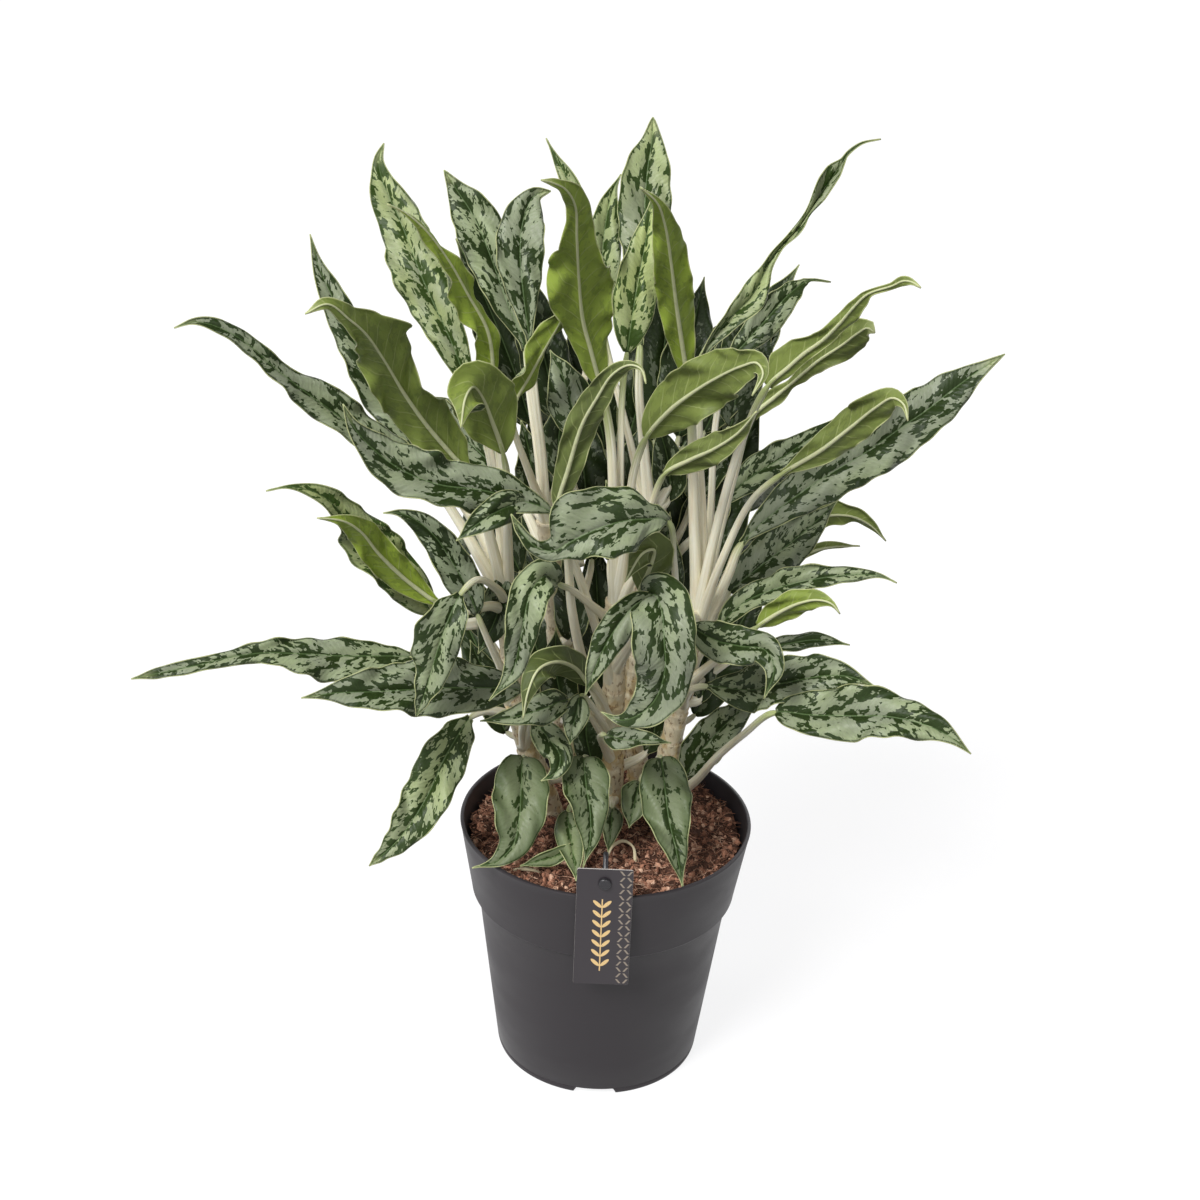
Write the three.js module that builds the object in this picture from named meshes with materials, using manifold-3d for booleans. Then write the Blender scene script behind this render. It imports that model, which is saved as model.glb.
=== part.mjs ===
// A potted chinese evergreen: a nursery pot of soil, five leafy stems and a tag on a peg.
// Millimetres, +Z up, origin at the centre of the pot's foot, +Y away from the front view.

import * as THREE from 'three';
import { mergeVertices } from 'three/addons/utils/BufferGeometryUtils.js';
import Module from 'manifold-3d';

// Pot
const POT_RIM_DIAMETER = 210;
const POT_BASE_DIAMETER = 150;
const POT_HEIGHT = 192;
const COLLAR_HEIGHT = 58;
const COLLAR_FOOT_RADIUS = 95.5;
const COLLAR_STEP = 4;
const COLLAR_SLOPE = 3;
const WALL = 2;
const LIP = 3;
const RIM_CHAMFER = 1;
const FOOT_RING_WIDTH = 9;
const FLOOR_UNDERSIDE = 4;
const FLOOR_TOP = 6.5;
const CENTRE_PAD_RADIUS = 22;
const FOOT_NOTCHES = 3;
const FOOT_NOTCH_WIDTH = 30;
const FOOT_NOTCH_HEIGHT = 5;
const DRAIN_HOLES = 8;
const DRAIN_HOLE_DIAMETER = 9;
const DRAIN_HOLE_RING_RADIUS = 46;
const DRAIN_HOLE_SIDES = 10;
const POT_SIDES = 40;

// Soil; its swells are in radians per mm
const SOIL_TOP = 179;
const SOIL_GAP = 0.7;
const SOIL_ROUGHNESS = 2.5;
const SOIL_SWELL = 0.12;
const SOIL_CRUMB = 0.3;
const SOIL_RINGS = 4;
const SOIL_SIDES = 30;

// Canes, leaf stalks and leaves
const CANE_RADIUS = 10;
const CANE_CROWN_RADIUS = 8;
const CANE_BELOW_SOIL = 34;
const CANE_UPRIGHT = 4;
const CANE_SIDES = 8;
const STALK_FOOT_RADIUS = 4.2;
const STALK_TIP_RADIUS = 2.6;
const STALK_SIDES = 5;
const STALK_STEP = 75;
const ROOT_OVERLAP = 9;
const LEAF_THICKNESS = 0.9;
const LEAF_FOOT_WIDTH = 5;
const LEAF_TIP_WIDTH = 1.2;
const LEAF_FOOT_ROUNDNESS = 0.8;
const LEAF_TIP_DRAW = 0.35;
const LEAF_TIP_DRAWN = [0.78, 0.97];
const LEAF_STATIONS = 12;
const SMALL_LEAF_STATIONS = 8;
const SMALL_LEAF_LENGTH = 92;
const RIPPLE = 4;
const RIPPLES_PER_METRE = 17;
const RIPPLE_LAG = 0.37;
const RIPPLE_HALF_WIDTH = 15;
const PHASE_STEP = 0.618;

// Tag and its peg
const TAG_WIDTH = 38;
const TAG_HEIGHT = 94;
const TAG_THICKNESS = 0.8;
const TAG_CORNER = 1.5;
const TAG_CENTRE_X = 0.5;
const TAG_TOP = 216;
const TAG_BACK = 106;
const TAG_HOLE_DIAMETER = 5;
const TAG_HOLE_HEIGHT = 205;
const PEG_DIAMETER = 4;
const PEG_POINT_RADIUS = 1.4;
const PEG_BUTTON_DIAMETER = 9;
const PEG_BUTTON_HEIGHT = 2.4;
const PEG_BUTTON_BEVEL = 0.8;
const PEG_BUTTON_SIDES = 16;
const PEG_STRAIGHT = 5;
const PEG_ARCH_TOP = 217;
const PEG_REACH = 25;
const PEG_FOOT = 140;
const PEG_SIDES = 6;
const PEG_STEP = 9;

// The gap between pieces that rest on one another
const CLEARANCE = 0.3;

// The front view that the leaves are placed by: an eye in front of the pot, above it.
// A place in it is [across, down, depth]: pixels of a 1200 px square, and mm away from the eye.
const EYE = new THREE.Vector3(-10.5, -1230, 958);
const VIEW_PITCH = THREE.MathUtils.degToRad(25.76);
const VIEW_ROLL = THREE.MathUtils.degToRad(2.32);
const VIEW_FOCAL = 1992;
const VIEW_CENTRE = 600;

const wasm = await Module();
wasm.setup();

// ---------- solids ----------

function solidOf(geometry) {
  const bare = geometry.clone();
  bare.deleteAttribute('normal');
  bare.deleteAttribute('uv');
  const merged = mergeVertices(bare, 1e-4);
  return new wasm.Manifold(new wasm.Mesh({
    numProp: 3,
    vertProperties: new Float32Array(merged.attributes.position.array),
    triVerts: new Uint32Array(merged.index.array),
  }));
}

function geometryOf(solid) {
  const { vertProperties, triVerts } = solid.getMesh();
  const geometry = new THREE.BufferGeometry();
  geometry.setAttribute('position', new THREE.BufferAttribute(vertProperties, 3));
  geometry.setIndex(new THREE.BufferAttribute(triVerts, 1));
  geometry.computeVertexNormals();
  return geometry;
}

// A closed skin over rings of points, from a flat foot to a flat end.
function skinOf(rings) {
  const around = rings[0].length;
  const positions = rings.flat().flatMap((point) => [point.x, point.y, point.z]);
  const index = [];
  for (let ring = 0; ring < rings.length - 1; ring += 1) {
    for (let side = 0; side < around; side += 1) {
      const next = (side + 1) % around;
      const a = ring * around + side;
      const b = ring * around + next;
      index.push(a, b, b + around, a, b + around, a + around);
    }
  }
  const last = (rings.length - 1) * around;
  for (let side = 1; side < around - 1; side += 1) {
    index.push(0, side + 1, side);
    index.push(last, last + side, last + side + 1);
  }
  const geometry = new THREE.BufferGeometry();
  geometry.setAttribute('position', new THREE.Float32BufferAttribute(positions, 3));
  geometry.setIndex(index);
  return geometry;
}

// ---------- lines through space ----------

// The place of a point [across, down, depth] of the front view.
function inView([across, down, depth]) {
  const dx = across - VIEW_CENTRE;
  const dy = down - VIEW_CENTRE;
  const right = Math.cos(VIEW_ROLL) * dx + Math.sin(VIEW_ROLL) * dy;
  const below = Math.cos(VIEW_ROLL) * dy - Math.sin(VIEW_ROLL) * dx;
  const ray = new THREE.Vector3(
    right,
    VIEW_FOCAL * Math.cos(VIEW_PITCH) - below * Math.sin(VIEW_PITCH),
    -VIEW_FOCAL * Math.sin(VIEW_PITCH) - below * Math.cos(VIEW_PITCH),
  );
  return ray.multiplyScalar((depth - EYE.y) / ray.y).add(EYE);
}

const placed = ([x, y, z]) => new THREE.Vector3(x, y, z);

// A smooth line through points, with the length run at each of its knots.
class Line {
  constructor(points) {
    const curve = new THREE.CatmullRomCurve3(points, false, 'centripetal');
    this.stepsPerSpan = 24;
    this.knots = curve.getPoints(this.stepsPerSpan * (points.length - 1));
    this.runs = [0];
    for (let i = 1; i < this.knots.length; i += 1) {
      this.runs.push(this.runs[i - 1] + this.knots[i].distanceTo(this.knots[i - 1]));
    }
    this.length = this.runs.at(-1);
  }

  runAtPoint(number) {
    return this.runs[number * this.stepsPerSpan];
  }

  at(run) {
    let i = 1;
    while (i < this.runs.length - 1 && this.runs[i] < run) i += 1;
    const part = (run - this.runs[i - 1]) / (this.runs[i] - this.runs[i - 1]);
    return this.knots[i - 1].clone().lerp(this.knots[i], part);
  }

  direction(run) {
    const reach = 2;
    const from = this.at(Math.max(0, run - reach));
    return this.at(Math.min(this.length, run + reach)).sub(from).normalize();
  }
}

// A round rod along a line, from one run of it to another, tapering.
function rodAlong(line, from, to, footRadius, endRadius, sides, step) {
  const count = Math.max(2, Math.ceil((to - from) / step));
  const rings = [];
  for (let i = 0; i <= count; i += 1) {
    const run = from + ((to - from) * i) / count;
    const centre = line.at(run);
    const along = line.direction(run);
    const across = new THREE.Vector3(0, 1, 0).cross(along).normalize();
    const out = along.clone().cross(across);
    const radius = footRadius + ((endRadius - footRadius) * i) / count;
    const ring = [];
    for (let side = 0; side < sides; side += 1) {
      const angle = (2 * Math.PI * side) / sides;
      ring.push(centre.clone()
        .addScaledVector(across, radius * Math.cos(angle))
        .addScaledVector(out, radius * Math.sin(angle)));
    }
    rings.push(ring);
  }
  return skinOf(rings);
}

// ---------- leaves ----------

// Half width over length: a rounded foot, widest before the middle, then a drawn-out tip.
function plainHalfWidth(leaf, s) {
  const eased = s ** (Math.log(0.5) / Math.log(leaf.widest));
  const power = s < leaf.widest ? LEAF_FOOT_ROUNDNESS : leaf.taper;
  const body = Math.sin(Math.PI * Math.min(1, eased)) ** power;
  const drip = 1 - LEAF_TIP_DRAW * THREE.MathUtils.smoothstep(s, ...LEAF_TIP_DRAWN);
  const least = s < 0.5 ? LEAF_FOOT_WIDTH / 2 : LEAF_TIP_WIDTH / 2;
  return Math.max(least, (leaf.width / 2) * body * drip);
}

// Half width of the side v (-1 or 1) at part s: from the leaf's own edges, or the plain shape.
function halfWidth(leaf, s, v) {
  if (!leaf.edges) return plainHalfWidth(leaf, s);
  const column = v * leaf.face < 0 ? 1 : 2;
  let i = 1;
  while (i < leaf.edges.length - 1 && leaf.edges[i][0] < s) i += 1;
  const [before, after] = [leaf.edges[i - 1], leaf.edges[i]];
  const part = THREE.MathUtils.smoothstep(s, before[0], after[0]);
  return before[column] + (after[column] - before[column]) * part;
}

// The blade's middle line, side and upper face at part s of its length.
function bladeFrame(leaf, s) {
  const run = leaf.foot + (leaf.line.length - leaf.foot) * s;
  const centre = leaf.line.at(run);
  const along = leaf.line.direction(run);
  const facing = EYE.clone().sub(centre).normalize().multiplyScalar(leaf.face);
  facing.z += leaf.lift;
  facing.addScaledVector(along, -facing.dot(along)).normalize();
  const roll = THREE.MathUtils.degToRad(leaf.roll[0] + (leaf.roll[1] - leaf.roll[0]) * s);
  facing.applyAxisAngle(along, roll);
  return { centre, facing, side: along.clone().cross(facing) };
}

// A blade: folded up from its midrib, with rippled edges, LEAF_THICKNESS thick.
function bladeGeometry(leaf) {
  const bladeLength = leaf.line.length - leaf.foot;
  const stations = bladeLength < SMALL_LEAF_LENGTH ? SMALL_LEAF_STATIONS : LEAF_STATIONS;
  const fold = THREE.MathUtils.degToRad(leaf.fold);
  const ripples = (bladeLength / 1000) * RIPPLES_PER_METRE;
  const rings = [];
  for (let i = 0; i < stations; i += 1) {
    const s = i / (stations - 1);
    const { centre, facing, side } = bladeFrame(leaf, s);
    const upper = [];
    const under = [];
    for (const v of [-1, 0, 1]) {
      const half = halfWidth(leaf, s, v);
      const beat = Math.sin(2 * Math.PI * (ripples * s + leaf.phase + RIPPLE_LAG * v));
      const growth = Math.sin(Math.PI * s) * Math.min(1, half / RIPPLE_HALF_WIDTH);
      const ripple = RIPPLE * v * v * beat * growth;
      const point = centre.clone()
        .addScaledVector(side, v * half * Math.cos(fold))
        .addScaledVector(facing, Math.abs(v) * half * Math.sin(fold) + ripple);
      const normal = facing.clone().multiplyScalar(Math.cos(v * fold))
        .addScaledVector(side, -Math.sin(v * fold));
      upper.push(point.clone().addScaledVector(normal, LEAF_THICKNESS / 2));
      under.push(point.clone().addScaledVector(normal, -LEAF_THICKNESS / 2));
    }
    rings.push([...upper, ...under.reverse()]);
  }
  return bladeSkin(rings);
}

// A skin over the blade's rings, with both faces split along the same diagonals.
function bladeSkin(rings) {
  const positions = rings.flat().flatMap((point) => [point.x, point.y, point.z]);
  const index = [];
  const around = 6;
  const quad = (a, b, c, d) => index.push(a, b, c, a, c, d);
  const turned = (a, b, c, d) => index.push(a, b, d, b, c, d);
  for (let ring = 0; ring < rings.length - 1; ring += 1) {
    const here = ring * around;
    const next = here + around;
    quad(here, here + 1, next + 1, next);
    quad(here + 1, here + 2, next + 2, next + 1);
    quad(here + 2, here + 3, next + 3, next + 2);
    turned(here + 3, here + 4, next + 4, next + 3);
    turned(here + 4, here + 5, next + 5, next + 4);
    quad(here + 5, here, next, next + 5);
  }
  const last = (rings.length - 1) * around;
  for (const [a, b, c, d] of [[0, 1, 4, 5], [1, 2, 3, 4]]) {
    index.push(a, c, b, a, d, c);
    index.push(last + a, last + b, last + c, last + a, last + c, last + d);
  }
  const geometry = new THREE.BufferGeometry();
  geometry.setAttribute('position', new THREE.Float32BufferAttribute(positions, 3));
  geometry.setIndex(index);
  return geometry;
}

// ---------- the plant's plan ----------

// Each stem: where its cane stands in the soil in mm, and the way it takes up to its crown.
const CANES = {
  stem_left: { root: [-41, 22], way: [[540, 780, 16], [524, 735, 8], [512, 680, 0], [508, 595, -3]] },
  stem_centre: { root: [5, 31], way: [[612, 770, 24], [614, 690, 12], [616, 600, 0]] },
  stem_right: { root: [42, 42], way: [[668, 760, 32], [680, 700, 20], [692, 650, 12], [698, 612, 8]] },
  stem_back_left: { root: [-28, 66], way: [[565, 720, 62], [558, 640, 58], [550, 560, 52], [546, 520, 45]] },
  stem_back_right: { root: [24, 74], way: [[630, 720, 70], [640, 640, 66], [648, 560, 60], [650, 510, 54]] },
};

// Each leaf: its stem, the way of its stalk from the cane to the blade, the way of its midrib
// from foot to tip, and its widest width in mm. face is 1 where the front view sees the upper
// face and -1 where it sees the underside, lift tips the upper face skyward, roll turns the
// blade about its midrib from foot to tip, and fold raises both halves, in degrees. widest is
// the part of its length where a plain blade is widest, and taper how it narrows from there;
// edges are the half widths of one that isn't plain, as [part of length, left, right] in mm.
// A leaf with joined: true is one body with its stem, and joined: NAME with that leaf.
const LEAVES = {
  // the left side, from the top down
  leaf_crown_left: {
    stem: 'stem_left', width: 36, widest: 0.5, taper: 0.75, roll: [0, -15],
    stalk: [[507, 600, -3], [500, 520, 4], [488, 445, 10]],
    rib: [[472, 398, 18], [453, 346, 30], [424, 282, 52], [400, 220, 78], [383, 182, 92], [379, 160, 100],
      [384, 143, 104]],
  },
  leaf_crown_left_pale: {
    stem: 'stem_left', width: 24, face: -1, widest: 0.3, roll: [45, 50],
    stalk: [[508, 610, -3], [506, 520, -8], [498, 440, -12]],
    rib: [[491, 390, -14], [492, 360, -17], [487, 330, -22], [469, 297, -32], [448, 260, -46],
      [425, 230, -60], [405, 213, -70], [387, 204, -78]],
  },
  leaf_left_high: {
    stem: 'stem_left', width: 28, lift: 0.3, widest: 0.45, taper: 0.9,
    stalk: [[507, 596, -3], [484, 540, 16], [460, 500, 30]],
    rib: [[438, 466, 40], [406, 430, 48], [378, 392, 58], [356, 345, 70], [336, 305, 80], [318, 265, 90],
      [310, 234, 96]],
  },
  leaf_left_pale: {
    stem: 'stem_left', face: -1, fold: 12,
    stalk: [[508, 606, -3], [496, 560, -14], [484, 515, -20]],
    rib: [[469, 474, -24], [451, 454, -30], [428, 427, -40], [405, 395, -54], [384, 360, -72],
      [366, 334, -88], [350, 320, -98], [327, 304, -108], [305, 314, -112]],
    edges: [[0, 3, 3], [0.12, 14, 15], [0.26, 15, 19], [0.4, 17, 12], [0.54, 17, 19], [0.66, 12, 26],
      [0.75, 8, 14], [0.84, 5, 7], [0.93, 3, 4], [1, 0.6, 0.6]],
  },
  leaf_left_far: {
    stem: 'stem_left', lift: 0.5,
    stalk: [[506, 602, -3], [484, 565, 0], [458, 520, 8]],
    rib: [[430, 482, 12], [384, 450, 12], [345, 421, 8], [300, 388, 0], [272, 366, -6], [250, 346, -11],
      [222, 329, -16], [195, 322, -20], [174, 328, -22]],
    edges: [[0, 3, 3], [0.16, 13, 13], [0.34, 14, 14], [0.48, 12, 13], [0.6, 9, 7], [0.7, 6, 6],
      [0.84, 5, 6], [1, 0.6, 0.6]],
  },
  leaf_left_folded: {
    stem: 'stem_left', width: 42, face: -1, fold: 14, widest: 0.42, taper: 0.9,
    stalk: [[508, 602, -3], [507, 540, -22], [507, 485, -36]],
    rib: [[503, 453, -44], [492, 421, -52], [483, 398, -62], [473, 387, -76], [465, 399, -90],
      [461, 428, -98]],
  },
  leaf_left_mid: {
    stem: 'stem_left', width: 34, lift: 0.4, widest: 0.36, taper: 1.3,
    stalk: [[509, 620, -3], [485, 622, -14], [457, 624, -24]],
    rib: [[432, 612, -30], [407, 585, -38], [384, 560, -46], [364, 540, -53], [346, 518, -61],
      [328, 500, -69], [311, 491, -75], [288, 487, -82], [266, 491, -88]],
  },
  leaf_left_light: {
    stem: 'stem_left', width: 24, face: -1, widest: 0.45,
    stalk: [[508, 612, -3], [490, 606, -26], [466, 611, -44]],
    rib: [[440, 604, -54], [416, 588, -60], [396, 571, -68], [378, 553, -78], [361, 532, -90],
      [343, 521, -100], [317, 518, -110]],
  },
  leaf_left_dark: {
    stem: 'stem_left', width: 26,
    stalk: [[511, 700, -2], [503, 673, -18], [488, 640, -34]],
    rib: [[477, 614, -42], [466, 586, -44], [452, 562, -42], [437, 539, -40], [419, 522, -40],
      [400, 513, -40], [383, 513, -40]],
  },
  leaf_left_droop: {
    stem: 'stem_left', fold: 16,
    stalk: [[508, 604, -3], [496, 588, -36], [476, 580, -64]],
    rib: [[460, 595, -82], [450, 615, -92], [439, 645, -100], [431, 672, -104], [424, 695, -106],
      [416, 717, -106]],
    edges: [[0, 3, 3], [0.15, 12, 13], [0.32, 14, 19], [0.5, 13, 16], [0.68, 10, 9], [0.84, 5, 5],
      [1, 0.6, 0.6]],
  },
  leaf_left_low: {
    stem: 'stem_left', lift: 0.5, fold: 14,
    stalk: [[513, 700, 0], [490, 685, -6], [452, 666, -14]],
    rib: [[412, 657, -20], [369, 656, -30], [340, 656, -36], [302, 654, -44], [264, 653, -51],
      [232, 657, -57], [199, 665, -63], [155, 674, -70], [131, 679, -74]],
    edges: [[0, 3, 3], [0.07, 8, 7], [0.16, 15, 10], [0.27, 19, 12], [0.4, 18, 12], [0.49, 12, 9],
      [0.56, 7, 7], [0.66, 7, 5], [0.78, 6, 5], [0.9, 4, 4], [1, 0.6, 0.6]],
  },
  leaf_left_front: {
    stem: 'stem_left', width: 42, lift: 0.3, widest: 0.45,
    stalk: [[524, 745, 8], [532, 722, -12], [534, 702, -30]],
    rib: [[522, 690, -44], [480, 688, -62], [443, 688, -76], [407, 690, -88], [370, 692, -98],
      [335, 693, -106], [301, 698, -112]],
  },
  leaf_left_hang: {
    stem: 'stem_left',
    stalk: [[516, 720, 4], [500, 712, -10], [485, 711, -18]],
    rib: [[470, 718, -28], [455, 740, -42], [441, 765, -53], [430, 790, -62], [416, 815, -71],
      [396, 842, -80], [369, 866, -88]],
    edges: [[0, 3, 3], [0.12, 12, 12], [0.3, 18, 18], [0.5, 17, 18], [0.66, 14, 14], [0.8, 9, 9],
      [0.92, 4, 4], [1, 0.6, 0.6]],
  },
  leaf_left_foot: {
    stem: 'stem_left', width: 41, lift: 0.2, widest: 0.3, taper: 1.25,
    stalk: [[543, 795, 16], [537, 778, 6], [528, 764, -6]],
    rib: [[523, 757, -18], [521, 790, -40], [519, 820, -58], [513, 845, -68], [497, 861, -74],
      [472, 868, -80]],
  },
  leaf_left_small: {
    stem: 'stem_left', width: 22, joined: true,
    stalk: [[524, 745, 6], [522, 728, -8], [526, 718, -16]],
    rib: [[534, 722, -24], [548, 738, -36], [560, 756, -46], [556, 772, -52], [541, 781, -56]],
  },
  // the middle
  leaf_centre_long: {
    stem: 'stem_centre', width: 36, lift: 0.4, widest: 0.5, taper: 0.9,
    stalk: [[612, 720, 16], [586, 670, -10], [572, 610, -36], [566, 545, -60]],
    rib: [[554, 514, -72], [520, 500, -80], [480, 490, -88], [440, 485, -94], [405, 472, -98],
      [376, 452, -102], [354, 428, -105], [343, 404, -106]],
  },
  leaf_centre_flap: {
    stem: 'stem_centre', width: 22, joined: 'leaf_centre_long',
    rib: [[526, 502, -78], [504, 508, -92], [480, 522, -102], [456, 541, -108]],
  },
  leaf_centre_dark: {
    stem: 'stem_centre', width: 21, face: -1,
    stalk: [[614, 690, 12], [600, 640, -8], [582, 585, -28], [564, 535, -46]],
    rib: [[557, 510, -54], [568, 470, -60], [582, 425, -68], [597, 398, -76], [612, 375, -84],
      [630, 365, -94], [642, 370, -102], [646, 384, -106]],
  },
  leaf_centre_bright: {
    stem: 'stem_centre', face: -1, fold: 10,
    stalk: [[616, 610, 0], [614, 510, -6], [610, 435, -10]],
    rib: [[602, 393, -15], [592, 355, -24], [583, 320, -36], [579, 280, -54], [577, 240, -74],
      [575, 205, -92], [565, 189, -104], [553, 183, -112], [541, 180, -118]],
    edges: [[0, 3, 3], [0.13, 9, 10], [0.27, 13, 18], [0.41, 20, 21], [0.52, 18, 19], [0.63, 11, 12],
      [0.74, 6, 9], [0.85, 5, 8], [0.94, 2, 3], [1, 0.6, 0.6]],
  },
  leaf_centre_curled: {
    stem: 'stem_right', lift: 0.1, fold: 12,
    stalk: [[690, 660, 14], [678, 612, -40], [674, 560, -70]],
    rib: [[668, 521, -88], [645, 519, -100], [620, 522, -108], [595, 530, -114], [572, 541, -118],
      [553, 551, -121], [536, 547, -122], [522, 533, -122], [511, 514, -121]],
    edges: [[0, 3, 3], [0.12, 9, 9], [0.27, 20, 22], [0.42, 21, 26], [0.56, 14, 27], [0.68, 7, 9],
      [0.8, 5, 4], [0.9, 3, 3], [1, 0.6, 0.6]],
  },
  leaf_centre_tucked: {
    stem: 'stem_centre', width: 28, face: -1,
    stalk: [[615, 650, 4], [628, 630, -22], [636, 608, -52]],
    rib: [[640, 590, -66], [650, 568, -75], [654, 550, -84], [642, 554, -94], [625, 582, -100]],
  },
  leaf_centre_droop: {
    stem: 'stem_centre', width: 42, fold: 14,
    stalk: [[614, 670, 8], [628, 648, -24], [640, 618, -56]],
    rib: [[648, 598, -76], [656, 596, -94], [662, 612, -108], [664, 640, -118], [665, 668, -122],
      [656, 698, -122], [640, 714, -120], [620, 720, -115], [601, 712, -110]],
  },
  leaf_centre_narrow: {
    stem: 'stem_centre', width: 22, joined: 'leaf_centre_droop',
    rib: [[653, 595, -84], [634, 606, -90], [616, 628, -96], [602, 652, -100], [592, 676, -102],
      [585, 696, -102]],
  },
  leaf_centre_under: {
    stem: 'stem_centre', width: 18, joined: true, lift: 0.4,
    stalk: [[612, 760, 20], [604, 745, 0], [600, 736, -30]],
    rib: [[606, 735, -50], [625, 740, -66], [648, 740, -78], [671, 743, -86]],
  },
  leaf_centre_left: {
    stem: 'stem_centre', width: 26,
    stalk: [[616, 625, 2], [592, 606, -24], [572, 590, -52]],
    rib: [[558, 584, -70], [544, 576, -88], [530, 594, -102], [521, 635, -112], [512, 672, -116],
      [489, 701, -118]],
  },
  leaf_centre_olive: {
    stem: 'stem_centre', width: 24, face: -1,
    stalk: [[613, 730, 18], [604, 706, -4], [596, 692, -20]],
    rib: [[588, 684, -32], [575, 668, -44], [555, 662, -60], [538, 670, -72], [528, 692, -80],
      [523, 719, -84]],
  },
  leaf_centre_tongue: {
    stem: 'stem_centre', width: 18, joined: true,
    stalk: [[613, 740, 19], [600, 718, -8], [588, 700, -26]],
    rib: [[580, 696, -38], [577, 712, -46], [572, 730, -52], [570, 745, -54]],
  },
  leaf_centre_sill: {
    stem: 'stem_centre', width: 22, joined: true, lift: 0.4,
    stalk: [[613, 750, 20], [600, 730, 2], [585, 708, -16]],
    rib: [[568, 700, -34], [540, 710, -56], [510, 718, -66], [480, 721, -70]],
  },
  leaf_centre_foot: {
    stem: 'stem_centre', width: 34, lift: 0.2, widest: 0.3, taper: 1.25,
    stalk: [[611, 790, 26], [600, 778, 8], [590, 763, -10]],
    rib: [[584, 757, -25], [586, 785, -44], [590, 812, -59], [590, 840, -70], [583, 868, -80]],
  },
  leaf_centre_foot_low: {
    stem: 'stem_centre', width: 22, joined: true,
    stalk: [[611, 805, 28], [596, 802, 14], [578, 802, -6]],
    rib: [[568, 812, -24], [570, 835, -44], [574, 860, -66], [576, 881, -82]],
  },
  leaf_centre_foot_side: {
    stem: 'stem_centre', width: 12, joined: 'leaf_centre_foot_low',
    rib: [[572, 846, -54], [556, 856, -60], [538, 861, -66], [520, 866, -70]],
  },
  leaf_centre_foot_right: {
    stem: 'stem_centre', width: 17, joined: true,
    stalk: [[612, 800, 28], [614, 800, 14], [613, 802, 2]],
    rib: [[612, 808, -6], [611, 830, -27], [608, 852, -44]],
  },
  leaf_crown_yellow: {
    stem: 'stem_centre', width: 29, taper: 0.85,
    stalk: [[616, 600, 0], [620, 500, -4], [622, 400, -2]],
    rib: [[627, 352, 2], [633, 312, 8], [637, 286, 14], [644, 250, 24], [649, 222, 32], [652, 197, 38]],
  },
  leaf_centre_right_high: {
    stem: 'stem_centre', width: 37, face: -1, fold: 12,
    stalk: [[617, 604, 0], [626, 540, -14], [634, 470, -26]],
    rib: [[646, 438, -32], [668, 412, -44], [695, 391, -60], [720, 376, -76], [742, 366, -90],
      [757, 363, -100], [763, 374, -108], [752, 396, -112]],
  },
  leaf_centre_right_small: {
    stem: 'stem_centre', width: 20, face: -1,
    stalk: [[617, 608, 0], [640, 560, -18], [653, 500, -36]],
    rib: [[665, 474, -46], [690, 460, -62], [714, 449, -80], [738, 433, -96], [757, 411, -110]],
  },
  // the right side, from the top down
  leaf_right_bright: {
    stem: 'stem_right', width: 24, face: -1, widest: 0.45, taper: 0.85,
    stalk: [[698, 618, 8], [694, 520, 4], [692, 430, 0]],
    rib: [[690, 390, -5], [684, 356, -13], [677, 310, -28], [671, 262, -48], [665, 225, -66],
      [657, 203, -78], [640, 187, -88]],
  },
  leaf_right_twisted: {
    stem: 'stem_right', roll: [20, -20], fold: 50,
    stalk: [[697, 616, 8], [702, 540, 10], [698, 430, 16]],
    rib: [[703, 355, 22], [733, 315, 34], [751, 297, 40], [769, 263, 50], [780, 247, 55], [796, 231, 60],
      [816, 202, 70], [834, 175, 77], [843, 162, 80], [847, 155, 82], [861, 144, 84], [881, 139, 86]],
    edges: [[0, 3, 3], [0.12, 8, 8], [0.27, 11, 11], [0.4, 5, 5], [0.47, 4, 4], [0.55, 7, 9],
      [0.62, 6, 5], [0.7, 9, 10], [0.78, 9, 8], [0.86, 2, 2], [1, 0.6, 0.6]],
  },
  leaf_right_crown: {
    stem: 'stem_right',
    stalk: [[699, 620, 9], [710, 520, 30], [716, 420, 52]],
    rib: [[730, 360, 68], [745, 343, 74], [762, 324, 82], [786, 297, 92], [800, 285, 98], [810, 280, 102],
      [831, 282, 106]],
    edges: [[0, 3, 3], [0.15, 8, 8], [0.35, 11, 12], [0.5, 11, 12], [0.66, 8, 8], [0.78, 3, 3],
      [0.84, 1, 1], [1, 0.6, 0.6]],
  },
  leaf_right_pale: {
    stem: 'stem_right', face: -1, fold: 10,
    stalk: [[698, 614, 8], [716, 530, -8], [742, 440, -20]],
    rib: [[768, 386, -30], [789, 367, -36], [805, 353, -42], [823, 340, -50], [839, 324, -58],
      [853, 308, -66], [868, 294, -75], [892, 286, -86], [903, 281, -92], [912, 282, -97],
      [921, 288, -101]],
    edges: [[0, 3, 3], [0.05, 8, 4], [0.1, 14, 5], [0.21, 12, 5], [0.33, 7, 5], [0.46, 5, 5],
      [0.58, 4, 7], [0.66, 3, 5], [0.74, 2, 2], [0.83, 2, 2], [0.9, 3, 3], [1, 0.6, 0.6]],
  },
  leaf_right_round: {
    stem: 'stem_right', face: -1, fold: 12,
    stalk: [[699, 622, 9], [718, 540, 10], [736, 470, 8]],
    rib: [[752, 418, 4], [776, 396, 0], [792, 383, -6], [805, 372, -12], [818, 361, -18], [842, 345, -30],
      [858, 333, -40], [868, 328, -46], [875, 333, -50]],
    edges: [[0, 3, 3], [0.1, 5, 5], [0.18, 6, 6], [0.3, 3, 3], [0.42, 5, 5], [0.54, 7, 7], [0.66, 11, 10],
      [0.8, 11, 10], [0.89, 9, 8], [0.95, 5, 5], [1, 0.6, 0.6]],
  },
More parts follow.
